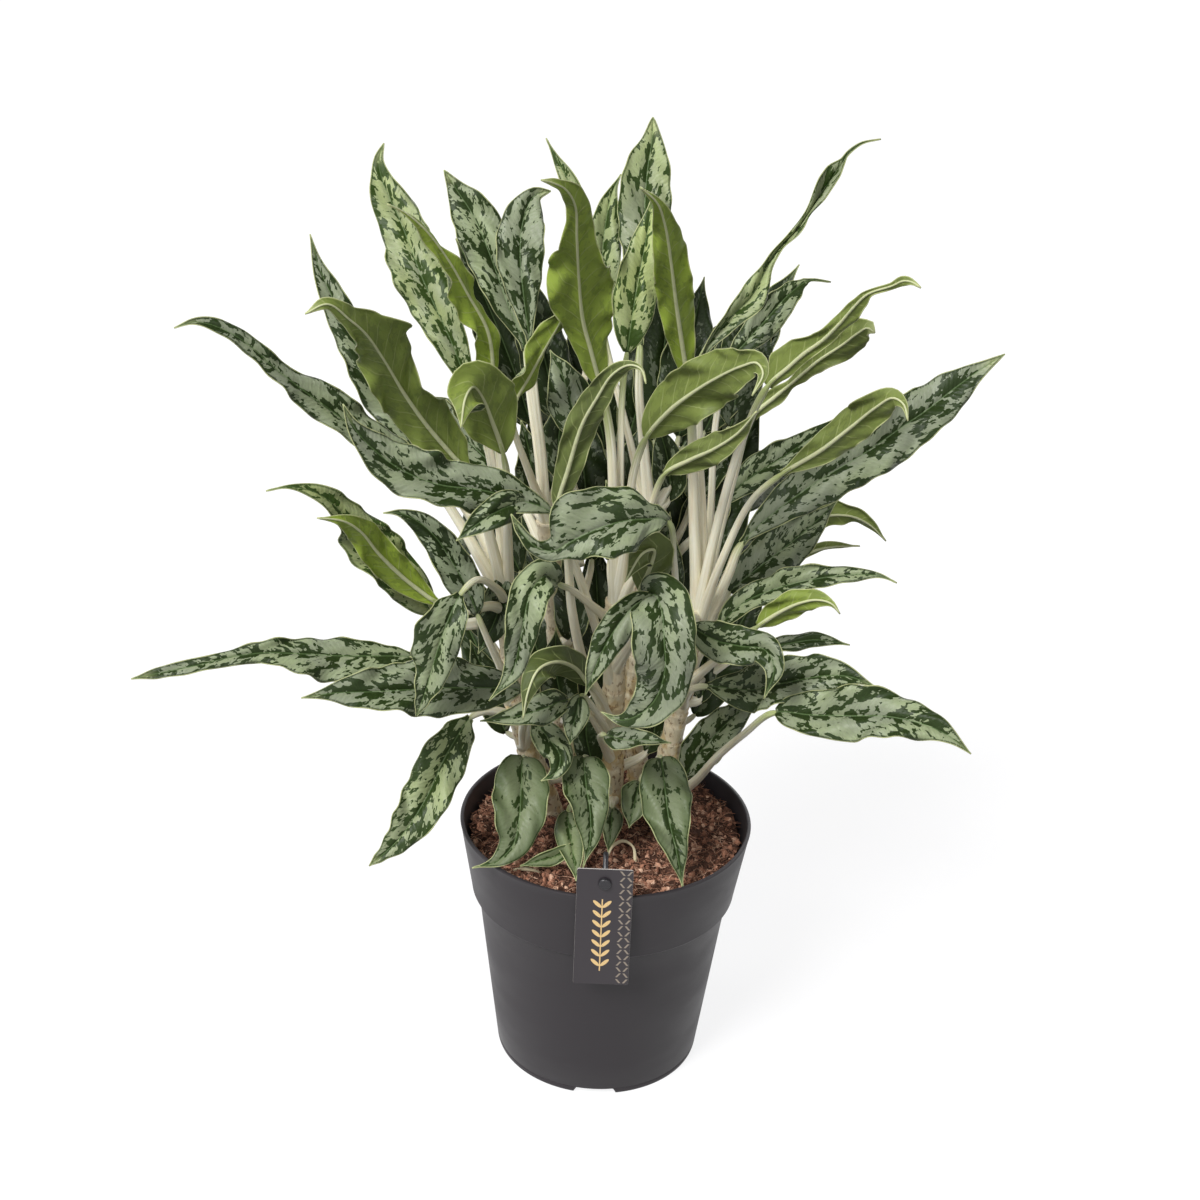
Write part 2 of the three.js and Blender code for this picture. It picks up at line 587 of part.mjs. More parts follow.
  leaf_right_back: {
    stem: 'stem_right', width: 24, lift: 0.3,
    stalk: [[699, 622, 10], [706, 570, 28], [714, 530, 42]],
    rib: [[722, 505, 52], [748, 479, 64], [780, 459, 78], [812, 437, 92], [842, 415, 104]],
  },
  leaf_right_long: {
    stem: 'stem_right', width: 41, lift: 0.2, fold: 12, widest: 0.5, taper: 0.8,
    stalk: [[694, 640, 11], [712, 610, 8], [728, 575, 5]],
    rib: [[742, 543, 2], [775, 512, 4], [820, 480, 9], [865, 453, 17], [905, 425, 26], [927, 410, 31],
      [951, 391, 37], [977, 372, 43], [1005, 354, 48]],
  },
  leaf_right_folded: {
    stem: 'stem_right', width: 25, face: -1, widest: 0.5,
    stalk: [[698, 626, 9], [722, 560, -14], [752, 500, -30]],
    rib: [[782, 474, -38], [820, 451, -50], [850, 428, -62], [875, 408, -76], [893, 398, -86],
      [904, 405, -94], [908, 421, -100]],
  },
  leaf_right_dark: {
    stem: 'stem_right', width: 36,
    stalk: [[694, 650, 13], [708, 630, 22], [720, 608, 30]],
    rib: [[730, 592, 34], [758, 568, 42], [788, 545, 52], [815, 522, 60], [838, 500, 68]],
  },
  leaf_right_hook: {
    stem: 'stem_right', width: 24, face: -1, lift: 0.6,
    stalk: [[696, 640, 13], [718, 600, 50], [740, 570, 74]],
    rib: [[770, 540, 90], [795, 526, 96], [818, 517, 102], [850, 516, 106], [870, 525, 108],
      [886, 541, 108]],
  },
  leaf_right_sliver: {
    stem: 'stem_right', width: 12, joined: true, face: -1, lift: 0.6,
    stalk: [[690, 665, 14], [715, 620, 38], [740, 592, 56]],
    rib: [[765, 572, 68], [799, 556, 76], [830, 547, 82], [860, 546, 86]],
  },
  leaf_right_mid: {
    stem: 'stem_right', width: 22, lift: 0.5,
    stalk: [[688, 675, 16], [698, 655, 10], [708, 640, 6]],
    rib: [[718, 627, 2], [745, 602, 2], [785, 586, 0], [816, 579, -3], [850, 575, -7], [880, 576, -11],
      [897, 583, -14]],
  },
  leaf_right_droop: {
    stem: 'stem_right', width: 20, face: -1, lift: 0.3,
    stalk: [[686, 685, 18], [710, 665, -2], [738, 642, -18]],
    rib: [[758, 626, -28], [780, 612, -38], [800, 603, -46], [818, 600, -52], [832, 604, -56],
      [840, 614, -58]],
  },
  leaf_right_lower_sliver: {
    stem: 'stem_right', width: 14, joined: true, lift: 0.6,
    stalk: [[685, 690, 18], [712, 672, 20], [738, 656, 20]],
    rib: [[760, 650, 20], [784, 645, 20], [815, 640, 18], [850, 645, 16]],
  },
  leaf_right_shelf: {
    stem: 'stem_right', width: 28,
    stalk: [[697, 618, 9], [688, 616, -14], [684, 616, -44]],
    rib: [[692, 626, -60], [715, 640, -74], [740, 646, -86], [765, 650, -98], [774, 668, -108],
      [764, 699, -114]],
  },
  leaf_right_low: {
    stem: 'stem_right', width: 38, lift: 0.3, widest: 0.45,
    stalk: [[682, 705, 20], [686, 696, -4], [694, 688, -26]],
    rib: [[708, 686, -36], [750, 690, -48], [790, 682, -67], [825, 676, -77], [850, 677, -84],
      [876, 687, -90]],
  },
  leaf_right_lowest: {
    stem: 'stem_right', width: 38, lift: 0.4, taper: 0.9,
    stalk: [[668, 800, 38], [694, 782, 14], [716, 758, -20], [744, 734, -56]],
    rib: [[776, 712, -84], [810, 715, -98], [850, 716, -110], [890, 717, -121], [925, 725, -130],
      [950, 737, -136], [971, 754, -141]],
  },
  leaf_right_rising: {
    stem: 'stem_right', width: 30,
    stalk: [[668, 796, 38], [674, 792, 34], [680, 785, 28]],
    rib: [[685, 776, 22], [700, 752, 16], [720, 730, 10], [743, 707, 4], [765, 685, -4]],
  },
  leaf_right_foot: {
    stem: 'stem_right', width: 36, lift: 0.2, widest: 0.32, taper: 1.15,
    stalk: [[668, 775, 34], [662, 768, 14], [658, 760, -6]],
    rib: [[661, 758, -20], [665, 790, -42], [669, 820, -58], [677, 855, -72], [683, 889, -84]],
  },
  leaf_right_foot_side: {
    stem: 'stem_right', width: 24, joined: true,
    stalk: [[667, 785, 36], [654, 780, 16], [644, 776, 2]],
    rib: [[640, 782, -8], [634, 805, -25], [629, 828, -38]],
  },
  // the back, seen between and above the others
  leaf_crown_back_left: {
    stem: 'stem_back_left', width: 35, widest: 0.55, taper: 0.75,
    stalk: [[546, 525, 45], [538, 450, 54], [530, 395, 62]],
    rib: [[525, 350, 72], [506, 300, 88], [490, 255, 104], [474, 217, 118], [458, 192, 126],
      [444, 170, 132]],
  },
  leaf_crown_back_middle: {
    stem: 'stem_back_left', width: 33, widest: 0.6, taper: 0.8,
    stalk: [[546, 522, 45], [542, 450, 38], [536, 400, 36]],
    rib: [[531, 350, 40], [524, 300, 52], [520, 250, 68], [524, 217, 80], [535, 195, 88], [551, 191, 90]],
  },
  leaf_crown_back_narrow: {
    stem: 'stem_back_left', width: 21,
    stalk: [[548, 530, 46], [570, 450, 70], [586, 370, 88]],
    rib: [[590, 310, 100], [584, 250, 114], [577, 205, 126], [567, 178, 134], [556, 158, 140],
      [546, 138, 144]],
  },
  leaf_left_band: {
    stem: 'stem_back_left', width: 26, face: -1, roll: [60, 60],
    stalk: [[547, 520, 45], [528, 470, 22], [514, 430, 6]],
    rib: [[512, 408, 0], [530, 375, -4], [548, 343, -8], [562, 318, -10], [574, 285, -10]],
  },
  leaf_back_left_fill: {
    stem: 'stem_back_left', width: 40, joined: true,
    stalk: [[547, 525, 45], [536, 490, 70], [526, 450, 92]],
    rib: [[524, 425, 104], [516, 380, 122], [510, 340, 138], [506, 305, 150], [505, 280, 156]],
  },
  leaf_back_left_low: {
    stem: 'stem_back_left', width: 32, joined: true,
    stalk: [[550, 560, 52], [562, 510, 34], [574, 465, 22]],
    rib: [[580, 440, 20], [572, 405, 26], [562, 375, 34], [550, 350, 42]],
  },
  leaf_crown_top: {
    stem: 'stem_back_right', width: 38, widest: 0.6, taper: 0.7,
    stalk: [[650, 520, 54], [644, 450, 48], [639, 390, 48]],
    rib: [[640, 345, 56], [642, 300, 68], [645, 250, 84], [645, 200, 102], [648, 165, 114],
      [652, 140, 122], [653, 117, 128]],
  },
  leaf_crown_back_right: {
    stem: 'stem_back_right', width: 28,
    stalk: [[649, 530, 56], [632, 450, 66], [612, 370, 74]],
    rib: [[602, 320, 82], [602, 260, 92], [606, 220, 102], [612, 193, 108], [621, 174, 112]],
  },
  leaf_back_right_fill: {
    stem: 'stem_back_right', width: 34, joined: true,
    stalk: [[650, 515, 54], [672, 480, 74], [690, 450, 92]],
    rib: [[698, 436, 98], [703, 415, 104], [708, 395, 110], [712, 375, 116]],
  },
  leaf_back_right_low: {
    stem: 'stem_back_right', width: 38, joined: true,
    stalk: [[645, 590, 62], [668, 555, 80], [686, 520, 94]],
    rib: [[692, 500, 100], [704, 465, 114], [716, 435, 126], [724, 405, 136]],
  },
};

// Leaves on the far side, with their places in mm, as x, y, z.
const FAR_LEAVES = {
  leaf_far_left: {
    stem: 'stem_back_left', width: 44,
    stalk: [[-49, 49, 385], [-44, 74, 410]],
    rib: [[-41, 92, 430], [-45, 128, 458], [-50, 168, 472], [-56, 204, 468], [-62, 236, 446]],
  },
  leaf_far_right: {
    stem: 'stem_back_right', width: 44,
    stalk: [[22, 58, 385], [34, 80, 415]],
    rib: [[44, 100, 440], [58, 135, 472], [74, 172, 488], [88, 206, 482], [98, 236, 460]],
  },
  leaf_far_middle: {
    stem: 'stem_back_right', width: 44, joined: true,
    stalk: [[21, 64, 330], [14, 84, 355]],
    rib: [[6, 102, 375], [0, 140, 400], [-4, 180, 405], [-6, 216, 390], [-6, 246, 362]],
  },
  leaf_far_wide_left: {
    stem: 'stem_back_left', width: 40, joined: true,
    stalk: [[-46, 53, 360], [-64, 76, 392]],
    rib: [[-80, 92, 410], [-112, 116, 432], [-144, 140, 438], [-172, 162, 424], [-192, 178, 398]],
  },
  leaf_far_wide_right: {
    stem: 'stem_back_right', width: 40, joined: true,
    stalk: [[21, 62, 345], [50, 82, 372]],
    rib: [[70, 98, 386], [92, 122, 400], [112, 148, 400], [128, 172, 384], [138, 192, 356]],
  },
  leaf_far_low_left: {
    stem: 'stem_back_left', width: 40, joined: true,
    stalk: [[-39, 58, 300], [-48, 82, 320]],
    rib: [[-56, 98, 332], [-78, 132, 345], [-98, 164, 340], [-114, 192, 318], [-124, 212, 290]],
  },
  leaf_far_low_right: {
    stem: 'stem_back_right', width: 40, joined: true,
    stalk: [[19, 66, 290], [40, 86, 310]],
    rib: [[56, 104, 322], [78, 136, 336], [98, 166, 332], [114, 192, 312], [124, 212, 286]],
  },
  leaf_far_low_middle: {
    stem: 'stem_back_right', width: 38, joined: true,
    stalk: [[17, 68, 270], [14, 90, 286]],
    rib: [[12, 108, 294], [8, 140, 300], [6, 172, 290], [4, 198, 266]],
  },
  leaf_far_foot: {
    stem: 'stem_back_left', width: 34, joined: true,
    stalk: [[-33, 62, 240], [-27, 86, 256]],
    rib: [[-24, 100, 264], [-30, 128, 268], [-36, 152, 256], [-40, 172, 232]],
  },
  leaf_far_foot_right: {
    stem: 'stem_back_right', width: 32, joined: true,
    stalk: [[17, 71, 228], [34, 88, 240]],
    rib: [[50, 102, 244], [62, 126, 246], [72, 148, 234], [78, 164, 214]],
  },
};

const PLAIN = { face: 1, lift: 0, roll: [0, 0], fold: 18, widest: 0.38, taper: 1 };

function planLeaf(name, plan, place, number) {
  const stalk = (plan.stalk ?? []).map(place);
  const line = new Line([...stalk, ...plan.rib.map(place)]);
  const foot = line.runAtPoint(stalk.length);
  return { ...PLAIN, ...plan, name, line, foot, phase: (number * PHASE_STEP) % 1 };
}

function plannedLeaves() {
  const near = Object.entries(LEAVES).map(([name, plan]) => [name, plan, inView]);
  const far = Object.entries(FAR_LEAVES).map(([name, plan]) => [name, plan, placed]);
  return [...near, ...far].map(([name, plan, place], number) => planLeaf(name, plan, place, number));
}

// ---------- canes with their stalks ----------

function caneLine({ root, way }) {
  const [x, y] = root;
  const below = new THREE.Vector3(x, y, SOIL_TOP - CANE_BELOW_SOIL);
  const surface = new THREE.Vector3(x, y, SOIL_TOP + CANE_UPRIGHT);
  return new Line([below, surface, ...way.map(inView)]);
}

// A cane, or with a gap around it the hole that it stands in.
function caneSolid(cane, gap) {
  const line = caneLine(cane);
  const [foot, crown] = [CANE_RADIUS + gap, CANE_CROWN_RADIUS + gap];
  const rod = rodAlong(line, 0, line.length, foot, crown, CANE_SIDES, STALK_STEP);
  return solidOf(rod.translate(0, 0, -gap));
}

function stalkSolid(leaf) {
  const end = leaf.joined ? leaf.foot + ROOT_OVERLAP : leaf.foot - CLEARANCE;
  return solidOf(rodAlong(leaf.line, 0, end, STALK_FOOT_RADIUS, STALK_TIP_RADIUS, STALK_SIDES, STALK_STEP));
}

function stemSolid(name, leaves) {
  let solid = caneSolid(CANES[name], 0);
  for (const leaf of leaves.filter(({ stem }) => stem === name)) {
    if (leaf.stalk) solid = solid.add(stalkSolid(leaf));
    if (leaf.joined === true) {
      solid = solid.add(leafSolid(leaf, leaves));
    }
  }
  return solid;
}

// A leaf's blade, with the blades that grow in one body with it.
function leafSolid(leaf, leaves) {
  let solid = solidOf(bladeGeometry(leaf));
  for (const other of leaves.filter(({ joined }) => joined === leaf.name)) {
    solid = solid.add(solidOf(bladeGeometry(other)));
  }
  return solid;
}

// ---------- pot ----------

const COLLAR_FOOT = POT_HEIGHT - COLLAR_HEIGHT;

// Outer radius at height z of the body under the collar, and of the collar.
function bodyRadius(z) {
  const base = POT_BASE_DIAMETER / 2;
  return base + ((COLLAR_FOOT_RADIUS - COLLAR_STEP - base) * z) / COLLAR_FOOT;
}

function collarRadius(z) {
  const rim = POT_RIM_DIAMETER / 2;
  return COLLAR_FOOT_RADIUS + ((rim - COLLAR_FOOT_RADIUS) * (z - COLLAR_FOOT)) / COLLAR_HEIGHT;
}

function revolve(profile, sides) {
  const points = profile.map(([radius, z]) => new THREE.Vector2(radius, z));
  const geometry = new THREE.LatheGeometry(points, sides);
  geometry.rotateX(Math.PI / 2);
  return geometry;
}

function potSolid() {
  const base = POT_BASE_DIAMETER / 2;
  const footInside = base - FOOT_RING_WIDTH;
  const rim = POT_RIM_DIAMETER / 2;
  const collarStart = COLLAR_FOOT + COLLAR_SLOPE;
  const shell = revolve([
    [0, 0],
    [CENTRE_PAD_RADIUS, 0],
    [CENTRE_PAD_RADIUS, FLOOR_UNDERSIDE],
    [footInside, FLOOR_UNDERSIDE],
    [footInside, 0],
    [base, 0],
    [bodyRadius(COLLAR_FOOT), COLLAR_FOOT],
    [collarRadius(collarStart), collarStart],
    [rim, POT_HEIGHT - RIM_CHAMFER],
    [rim - RIM_CHAMFER, POT_HEIGHT],
    [rim - LIP, POT_HEIGHT],
    [collarRadius(collarStart) - LIP, collarStart],
    [bodyRadius(COLLAR_FOOT) - WALL, COLLAR_FOOT - WALL],
    [bodyRadius(FLOOR_TOP) - WALL, FLOOR_TOP],
    [0, FLOOR_TOP],
  ], POT_SIDES);
  let solid = solidOf(shell);
  for (let i = 0; i < FOOT_NOTCHES; i += 1) {
    const notch = new THREE.BoxGeometry(FOOT_NOTCH_WIDTH, 3 * FOOT_RING_WIDTH, 2 * FOOT_NOTCH_HEIGHT);
    notch.translate(0, -base, 0);
    notch.rotateZ((2 * Math.PI * i) / FOOT_NOTCHES);
    solid = solid.subtract(solidOf(notch));
  }
  for (let i = 0; i < DRAIN_HOLES; i += 1) {
    const holeRadius = DRAIN_HOLE_DIAMETER / 2;
    const hole = new THREE.CylinderGeometry(holeRadius, holeRadius, 3 * FLOOR_TOP, DRAIN_HOLE_SIDES);
    hole.rotateX(Math.PI / 2);
    hole.translate(DRAIN_HOLE_RING_RADIUS, 0, FLOOR_TOP);
    hole.rotateZ((2 * Math.PI * (i + 0.5)) / DRAIN_HOLES);
    solid = solid.subtract(solidOf(hole));
  }
  return solid;
}

// ---------- soil ----------

// The soil's body fills the pot; its top is uneven, with a plain hole for each cane and the peg.
function soilSolid(pegHole) {
  const foot = FLOOR_TOP + CLEARANCE;
  const step = COLLAR_FOOT + COLLAR_SLOPE;
  const edge = (outside, wall) => outside - wall - SOIL_GAP;
  const body = revolve([
    [0, foot],
    [edge(bodyRadius(foot), WALL), foot],
    [edge(bodyRadius(COLLAR_FOOT), WALL), COLLAR_FOOT - WALL],
    [edge(collarRadius(step), LIP), step],
    ...soilTopProfile(edge(collarRadius(SOIL_TOP - 2 * SOIL_ROUGHNESS), LIP)),
  ], SOIL_SIDES);
  unevenTop(body);
  let solid = solidOf(body);
  for (const cane of Object.values(CANES)) {
    solid = solid.subtract(caneSolid(cane, CLEARANCE));
  }
  return solid.subtract(pegHole);
}

function soilTopProfile(radius) {
  const profile = [];
  for (let ring = SOIL_RINGS; ring >= 0; ring -= 1) {
    profile.push([(radius * ring) / SOIL_RINGS, SOIL_TOP]);
  }
  return profile;
}

function unevenTop(geometry) {
  const position = geometry.getAttribute('position');
  for (let i = 0; i < position.count; i += 1) {
    const x = position.getX(i);
    const y = position.getY(i);
    if (position.getZ(i) > SOIL_TOP - 1) {
      const swell = Math.sin(x * SOIL_SWELL) * Math.cos(y * SOIL_SWELL);
      const crumb = Math.sin((x - y) * SOIL_CRUMB) / 2;
      position.setZ(i, SOIL_TOP + SOIL_ROUGHNESS * (swell + crumb));
    }
  }
}

// ---------- tag and peg ----------

function tagGeometry() {
  const outline = new THREE.Shape();
  const halfWide = TAG_WIDTH / 2;
  const low = TAG_TOP - TAG_HEIGHT;
  outline.moveTo(-halfWide + TAG_CORNER, low);
  outline.lineTo(halfWide - TAG_CORNER, low);
  outline.quadraticCurveTo(halfWide, low, halfWide, low + TAG_CORNER);
  outline.lineTo(halfWide, TAG_TOP - TAG_CORNER);
  outline.quadraticCurveTo(halfWide, TAG_TOP, halfWide - TAG_CORNER, TAG_TOP);
  outline.lineTo(-halfWide + TAG_CORNER, TAG_TOP);
  outline.quadraticCurveTo(-halfWide, TAG_TOP, -halfWide, TAG_TOP - TAG_CORNER);
  outline.lineTo(-halfWide, low + TAG_CORNER);
  outline.quadraticCurveTo(-halfWide, low, -halfWide + TAG_CORNER, low);
  const hole = new THREE.Path();
  hole.absarc(0, TAG_HOLE_HEIGHT, TAG_HOLE_DIAMETER / 2, 0, 2 * Math.PI);
  outline.holes.push(hole);
  const geometry = new THREE.ExtrudeGeometry(outline, {
    depth: TAG_THICKNESS, bevelEnabled: false, curveSegments: 4,
  });
  geometry.rotateX(Math.PI / 2);
  return geometry;
}

// The peg's way: back through the tag's hole, arching over the pot's rim and down into the soil.
function pegLine() {
  const front = -TAG_BACK - TAG_THICKNESS - CLEARANCE - PEG_BUTTON_HEIGHT / 2;
  const way = [
    [0, TAG_HOLE_HEIGHT],
    [PEG_STRAIGHT / 2, TAG_HOLE_HEIGHT],
    [PEG_STRAIGHT, TAG_HOLE_HEIGHT],
    [PEG_REACH / 2, PEG_ARCH_TOP - PEG_DIAMETER],
    [(PEG_REACH * 3) / 4, PEG_ARCH_TOP],
    [PEG_REACH - 1, TAG_HOLE_HEIGHT],
    [PEG_REACH, SOIL_TOP],
    [PEG_REACH, PEG_FOOT],
  ];
  return new Line(way.map(([back, z]) => new THREE.Vector3(TAG_CENTRE_X, front + back, z)));
}

function pegSolid() {
  const line = pegLine();
  const shaft = rodAlong(line, 0, line.length, PEG_DIAMETER / 2, PEG_POINT_RADIUS, PEG_SIDES, PEG_STEP);
  const wide = PEG_BUTTON_DIAMETER / 2;
  const narrow = wide - PEG_BUTTON_BEVEL;
  const button = new THREE.CylinderGeometry(narrow, wide, PEG_BUTTON_HEIGHT, PEG_BUTTON_SIDES);
  const { x, y, z } = line.at(0);
  button.translate(x, y, z);
  return solidOf(shaft).add(solidOf(button));
}

function pegHoleSolid() {
  const line = pegLine();
  const radius = PEG_DIAMETER / 2 + CLEARANCE;
  return solidOf(rodAlong(line, 0, line.length, radius, radius, PEG_SIDES, PEG_STEP));
}

// ---------- finishes and the assembly ----------

const FINISHES = {
  pot: { color: 0x424046, roughness: 0.55 },
  soil: { color: 0x7a4b38, roughness: 1 },
  tag: { color: 0x322c31, roughness: 0.5 },
  peg: { color: 0x2a2a2e, roughness: 0.45 },
  cane: { color: 0xddd2bf, roughness: 0.6 },
  upperFace: { color: 0x7d9478, roughness: 0.5 },
  underside: { color: 0x7c8f42, roughness: 0.55 },
};

const group = new THREE.Group();

function addPiece(name, geometry, finish) {
  const mesh = new THREE.Mesh(geometry, new THREE.MeshStandardMaterial({ ...finish, metalness: 0 }));
  mesh.name = name;
  group.add(mesh);
  return mesh;
}

addPiece('pot', geometryOf(potSolid()), FINISHES.pot);
addPiece('soil', geometryOf(soilSolid(pegHoleSolid())), FINISHES.soil);
const tag = addPiece('tag_card', tagGeometry(), FINISHES.tag);
tag.position.set(TAG_CENTRE_X, -TAG_BACK, 0);
addPiece('tag_peg', geometryOf(pegSolid()), FINISHES.peg);

const leaves = plannedLeaves();
for (const name of Object.keys(CANES)) {
  addPiece(name, geometryOf(stemSolid(name, leaves)), FINISHES.cane);
}
for (const leaf of leaves.filter(({ joined }) => !joined)) {
  const finish = leaf.face > 0 ? FINISHES.upperFace : FINISHES.underside;
  addPiece(leaf.name, geometryOf(leafSolid(leaf, leaves)), finish);
}

export default group;
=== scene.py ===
import math

import bmesh
import bpy
import numpy as np
from bpy.props import FloatProperty, FloatVectorProperty, IntProperty, PointerProperty
from mathutils import Matrix, Vector


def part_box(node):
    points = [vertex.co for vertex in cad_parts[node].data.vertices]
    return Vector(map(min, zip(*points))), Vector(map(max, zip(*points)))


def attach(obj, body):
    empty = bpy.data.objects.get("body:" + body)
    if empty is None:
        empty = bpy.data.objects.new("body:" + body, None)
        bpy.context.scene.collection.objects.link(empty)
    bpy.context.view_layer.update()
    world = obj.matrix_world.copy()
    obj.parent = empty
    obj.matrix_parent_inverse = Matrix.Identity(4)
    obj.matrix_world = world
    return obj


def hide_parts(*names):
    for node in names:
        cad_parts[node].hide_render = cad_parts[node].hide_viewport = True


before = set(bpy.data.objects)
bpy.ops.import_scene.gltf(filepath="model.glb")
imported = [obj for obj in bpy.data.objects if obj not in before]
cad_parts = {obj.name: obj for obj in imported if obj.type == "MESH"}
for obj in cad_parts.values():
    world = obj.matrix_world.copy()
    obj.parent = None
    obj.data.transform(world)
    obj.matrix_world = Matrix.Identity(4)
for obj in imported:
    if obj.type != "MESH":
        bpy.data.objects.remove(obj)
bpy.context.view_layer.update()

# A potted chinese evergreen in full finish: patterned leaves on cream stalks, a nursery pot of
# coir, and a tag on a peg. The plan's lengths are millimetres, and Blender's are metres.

bl_info = {
    "name": "Potted Chinese Evergreen",
    "version": (1, 0, 0),
    "blender": (4, 5, 0),
    "location": "3D View > Sidebar > Evergreen",
    "description": "Builds a potted chinese evergreen with silver-patterned leaves",
    "category": "Add Mesh",
}

MM = 0.001
POT_LOW, POT_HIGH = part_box("pot")
TAG_LOW, TAG_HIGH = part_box("tag_card")

# ---------- measures of the pot, the soil, the tag and the peg, in mm ----------

COLLAR_HEIGHT = 58
COLLAR_FOOT_RADIUS = 95.5
COLLAR_WALL = 3
BODY_TOP_RADIUS = 91.5
BODY_WALL = 2
FOOT_RING_WIDTH = 9
FOOT_NOTCHES = 3
FOOT_NOTCH_HALF = 13.5
FOOT_NOTCH_HEIGHT = 5
CENTRE_PAD_RADIUS = 22
FLOOR_UNDERSIDE = 4
FLOOR_TOP = 6.5
DRAIN_HOLES = 8
DRAIN_HOLE_RADIUS = 4.5
DRAIN_RING_RADIUS = 46

SOIL_TOP = 179
SOIL_RADIUS = 97.6
SOIL_EDGE_DROP = 2.5
SOIL_OPEN_RADIUS = 96.5
# The sides of the soil, from its underside up, as (radius, height).
SOIL_SIDES = [(71, 7), (89.4, 131), (91.6, 136), (SOIL_RADIUS - 1.2, 172)]

TAG_CORNER = 1.5
TAG_HOLE_RADIUS = 2.5
TAG_HOLE_HEIGHT = 205
TAG_EDGE_BEVEL = 0.08
PEG_FRONT_GAP = 1.5
# The way of the peg, as (distance back from its button, height).
PEG_WAY = [(0, 205), (2.5, 205), (5, 205), (12.5, 213), (18.75, 217), (24, 205), (25, 179), (25, 140)]
# The button's section as (radius, distance back), and where its two faces lie at the centre.
BUTTON_SECTION = [(1.5, -1.25), (2.2, -1), (2.9, -1.2), (3.5, -1.15), (4.1, -0.6), (4.45, 0.3), (4.45, 1),
                  (4.2, 1.2)]
BUTTON_ENDS = (-1.25, 1.2)

# The print lies within this depth of the tag's front.
PRINT_DEPTH = 0.12
# Each column of dashes: its distance from the right edge, and its slant.
DASH_COLUMNS = ((7.2, 0.75), (2.3, -0.75))
DASH_PART = 0.34
# How far over the tag's foot the sprig's stem, its first leaves and its last leaves are.
SPRIG_RISES = (11, 14, 70)
SPRIG_LEFT = 1.2

# Bare roots on the soil, as points of (x, y, rise). Their rise starts at ROOT_HEIGHT over the soil.
ROOT_HEIGHT = 3.5
ROOTS = [
    [(2, -34, -4), (6, -30, 3), (13, -28, 6), (20, -32, 4), (22, -41, -4)],
    [(-44, -58, -4), (-50, -62, 1), (-58, -60, 0), (-63, -55, -4)],
]

# ---------- the studio, in metres ----------

# The floor's sweep in mm, as (radius, height) from its top down to the middle.
SWEEP = ((26000, 24000), (25500, 8000), (23000, 1500), (20000, 0), (20, 0))
WORLD_LIGHT = 0.15
PLANT_MIDDLE = (0, 0, 0.36)
SUN_LIGHT = 3.6
SUN_SPREAD = 22
SUN_PLACE = (-1.1, -1.5, 2.3)
# Each softbox: its name, place, width and power.
SOFTBOXES = (
    ("front", (0.5, -2.2, 1.7), 1.2, 15),
    ("side", (-2.2, 0.3, 1.6), 1.2, 18),
    ("back", (0.9, 2.3, 1.5), 1.4, 14),
)
# The width in mm of the camera's sensor.
SENSOR = 36

# ---------- the plan of the plant ----------

CANE_BELOW_SOIL = 34
CANE_UPRIGHT = 4
INNER_LEAVES = 27
GOLDEN_PART = 0.618

# The front view that the leaves are placed by: an eye in front of the pot, above it. A place in
# it is (across, down, depth): pixels of a 1200 px square, and mm that it lies behind the pot's axis.
EYE = np.array((-10.5, -1230.0, 958.0))
VIEW_PITCH = math.radians(25.76)
VIEW_ROLL = math.radians(2.32)
VIEW_FOCAL = 1992
VIEW_CENTRE = 600
VIEW_SIZE = 1200

# Each stem: where its cane stands in the soil in mm, and the way it takes up to its crown.
CANES = {
    "stem_left": dict(
        root=(-41, 22), way=[(540, 780, 16), (524, 735, 8), (512, 680, 0), (508, 595, -3)]),
    "stem_centre": dict(
        root=(5, 31), way=[(612, 770, 24), (614, 690, 12), (616, 600, 0)]),
    "stem_right": dict(
        root=(42, 42), way=[(668, 760, 32), (680, 700, 20), (692, 650, 12), (698, 612, 8)]),
    "stem_back_left": dict(
        root=(-28, 66), way=[(565, 720, 62), (558, 640, 58), (550, 560, 52), (546, 520, 45)]),
    "stem_back_right": dict(
        root=(24, 74), way=[(630, 720, 70), (640, 640, 66), (648, 560, 60), (650, 510, 54)]),
}

# Leaves seen only between the stalks, darkened with painted shade: the stem, the point of its way that
# they leave from, the foot, the tip and the width in mm.
SHADE_WAYS = [
    ("stem_back_left", 3, (530, 500, 58), (521, 420, 66), 22),
    ("stem_back_left", 3, (558, 478, 56), (570, 388, 66), 26),
    ("stem_back_right", 3, (668, 500, 66), (658, 424, 76), 26),
    ("stem_back_right", 2, (672, 600, 60), (670, 512, 66), 24),
    ("stem_back_left", 1, (570, 640, 38), (562, 556, 40), 26),
    ("stem_back_left", 0, (566, 716, 30), (556, 628, 26), 28),
    ("stem_centre", 0, (646, 752, 34), (660, 650, 36), 26),
    ("stem_left", 0, (588, 770, 14), (594, 690, 10), 22),
    ("stem_left", 2, (490, 640, 2), (446, 556, 10), 24),
    ("stem_left", 1, (508, 700, 6), (470, 640, 14), 22),
    ("stem_left", 2, (505, 578, -12), (478, 654, -24), 26),
    ("stem_right", 1, (700, 700, 16), (716, 620, 24), 20),
    ("stem_centre", 2, (610, 560, 30), (606, 480, 40), 22),
]
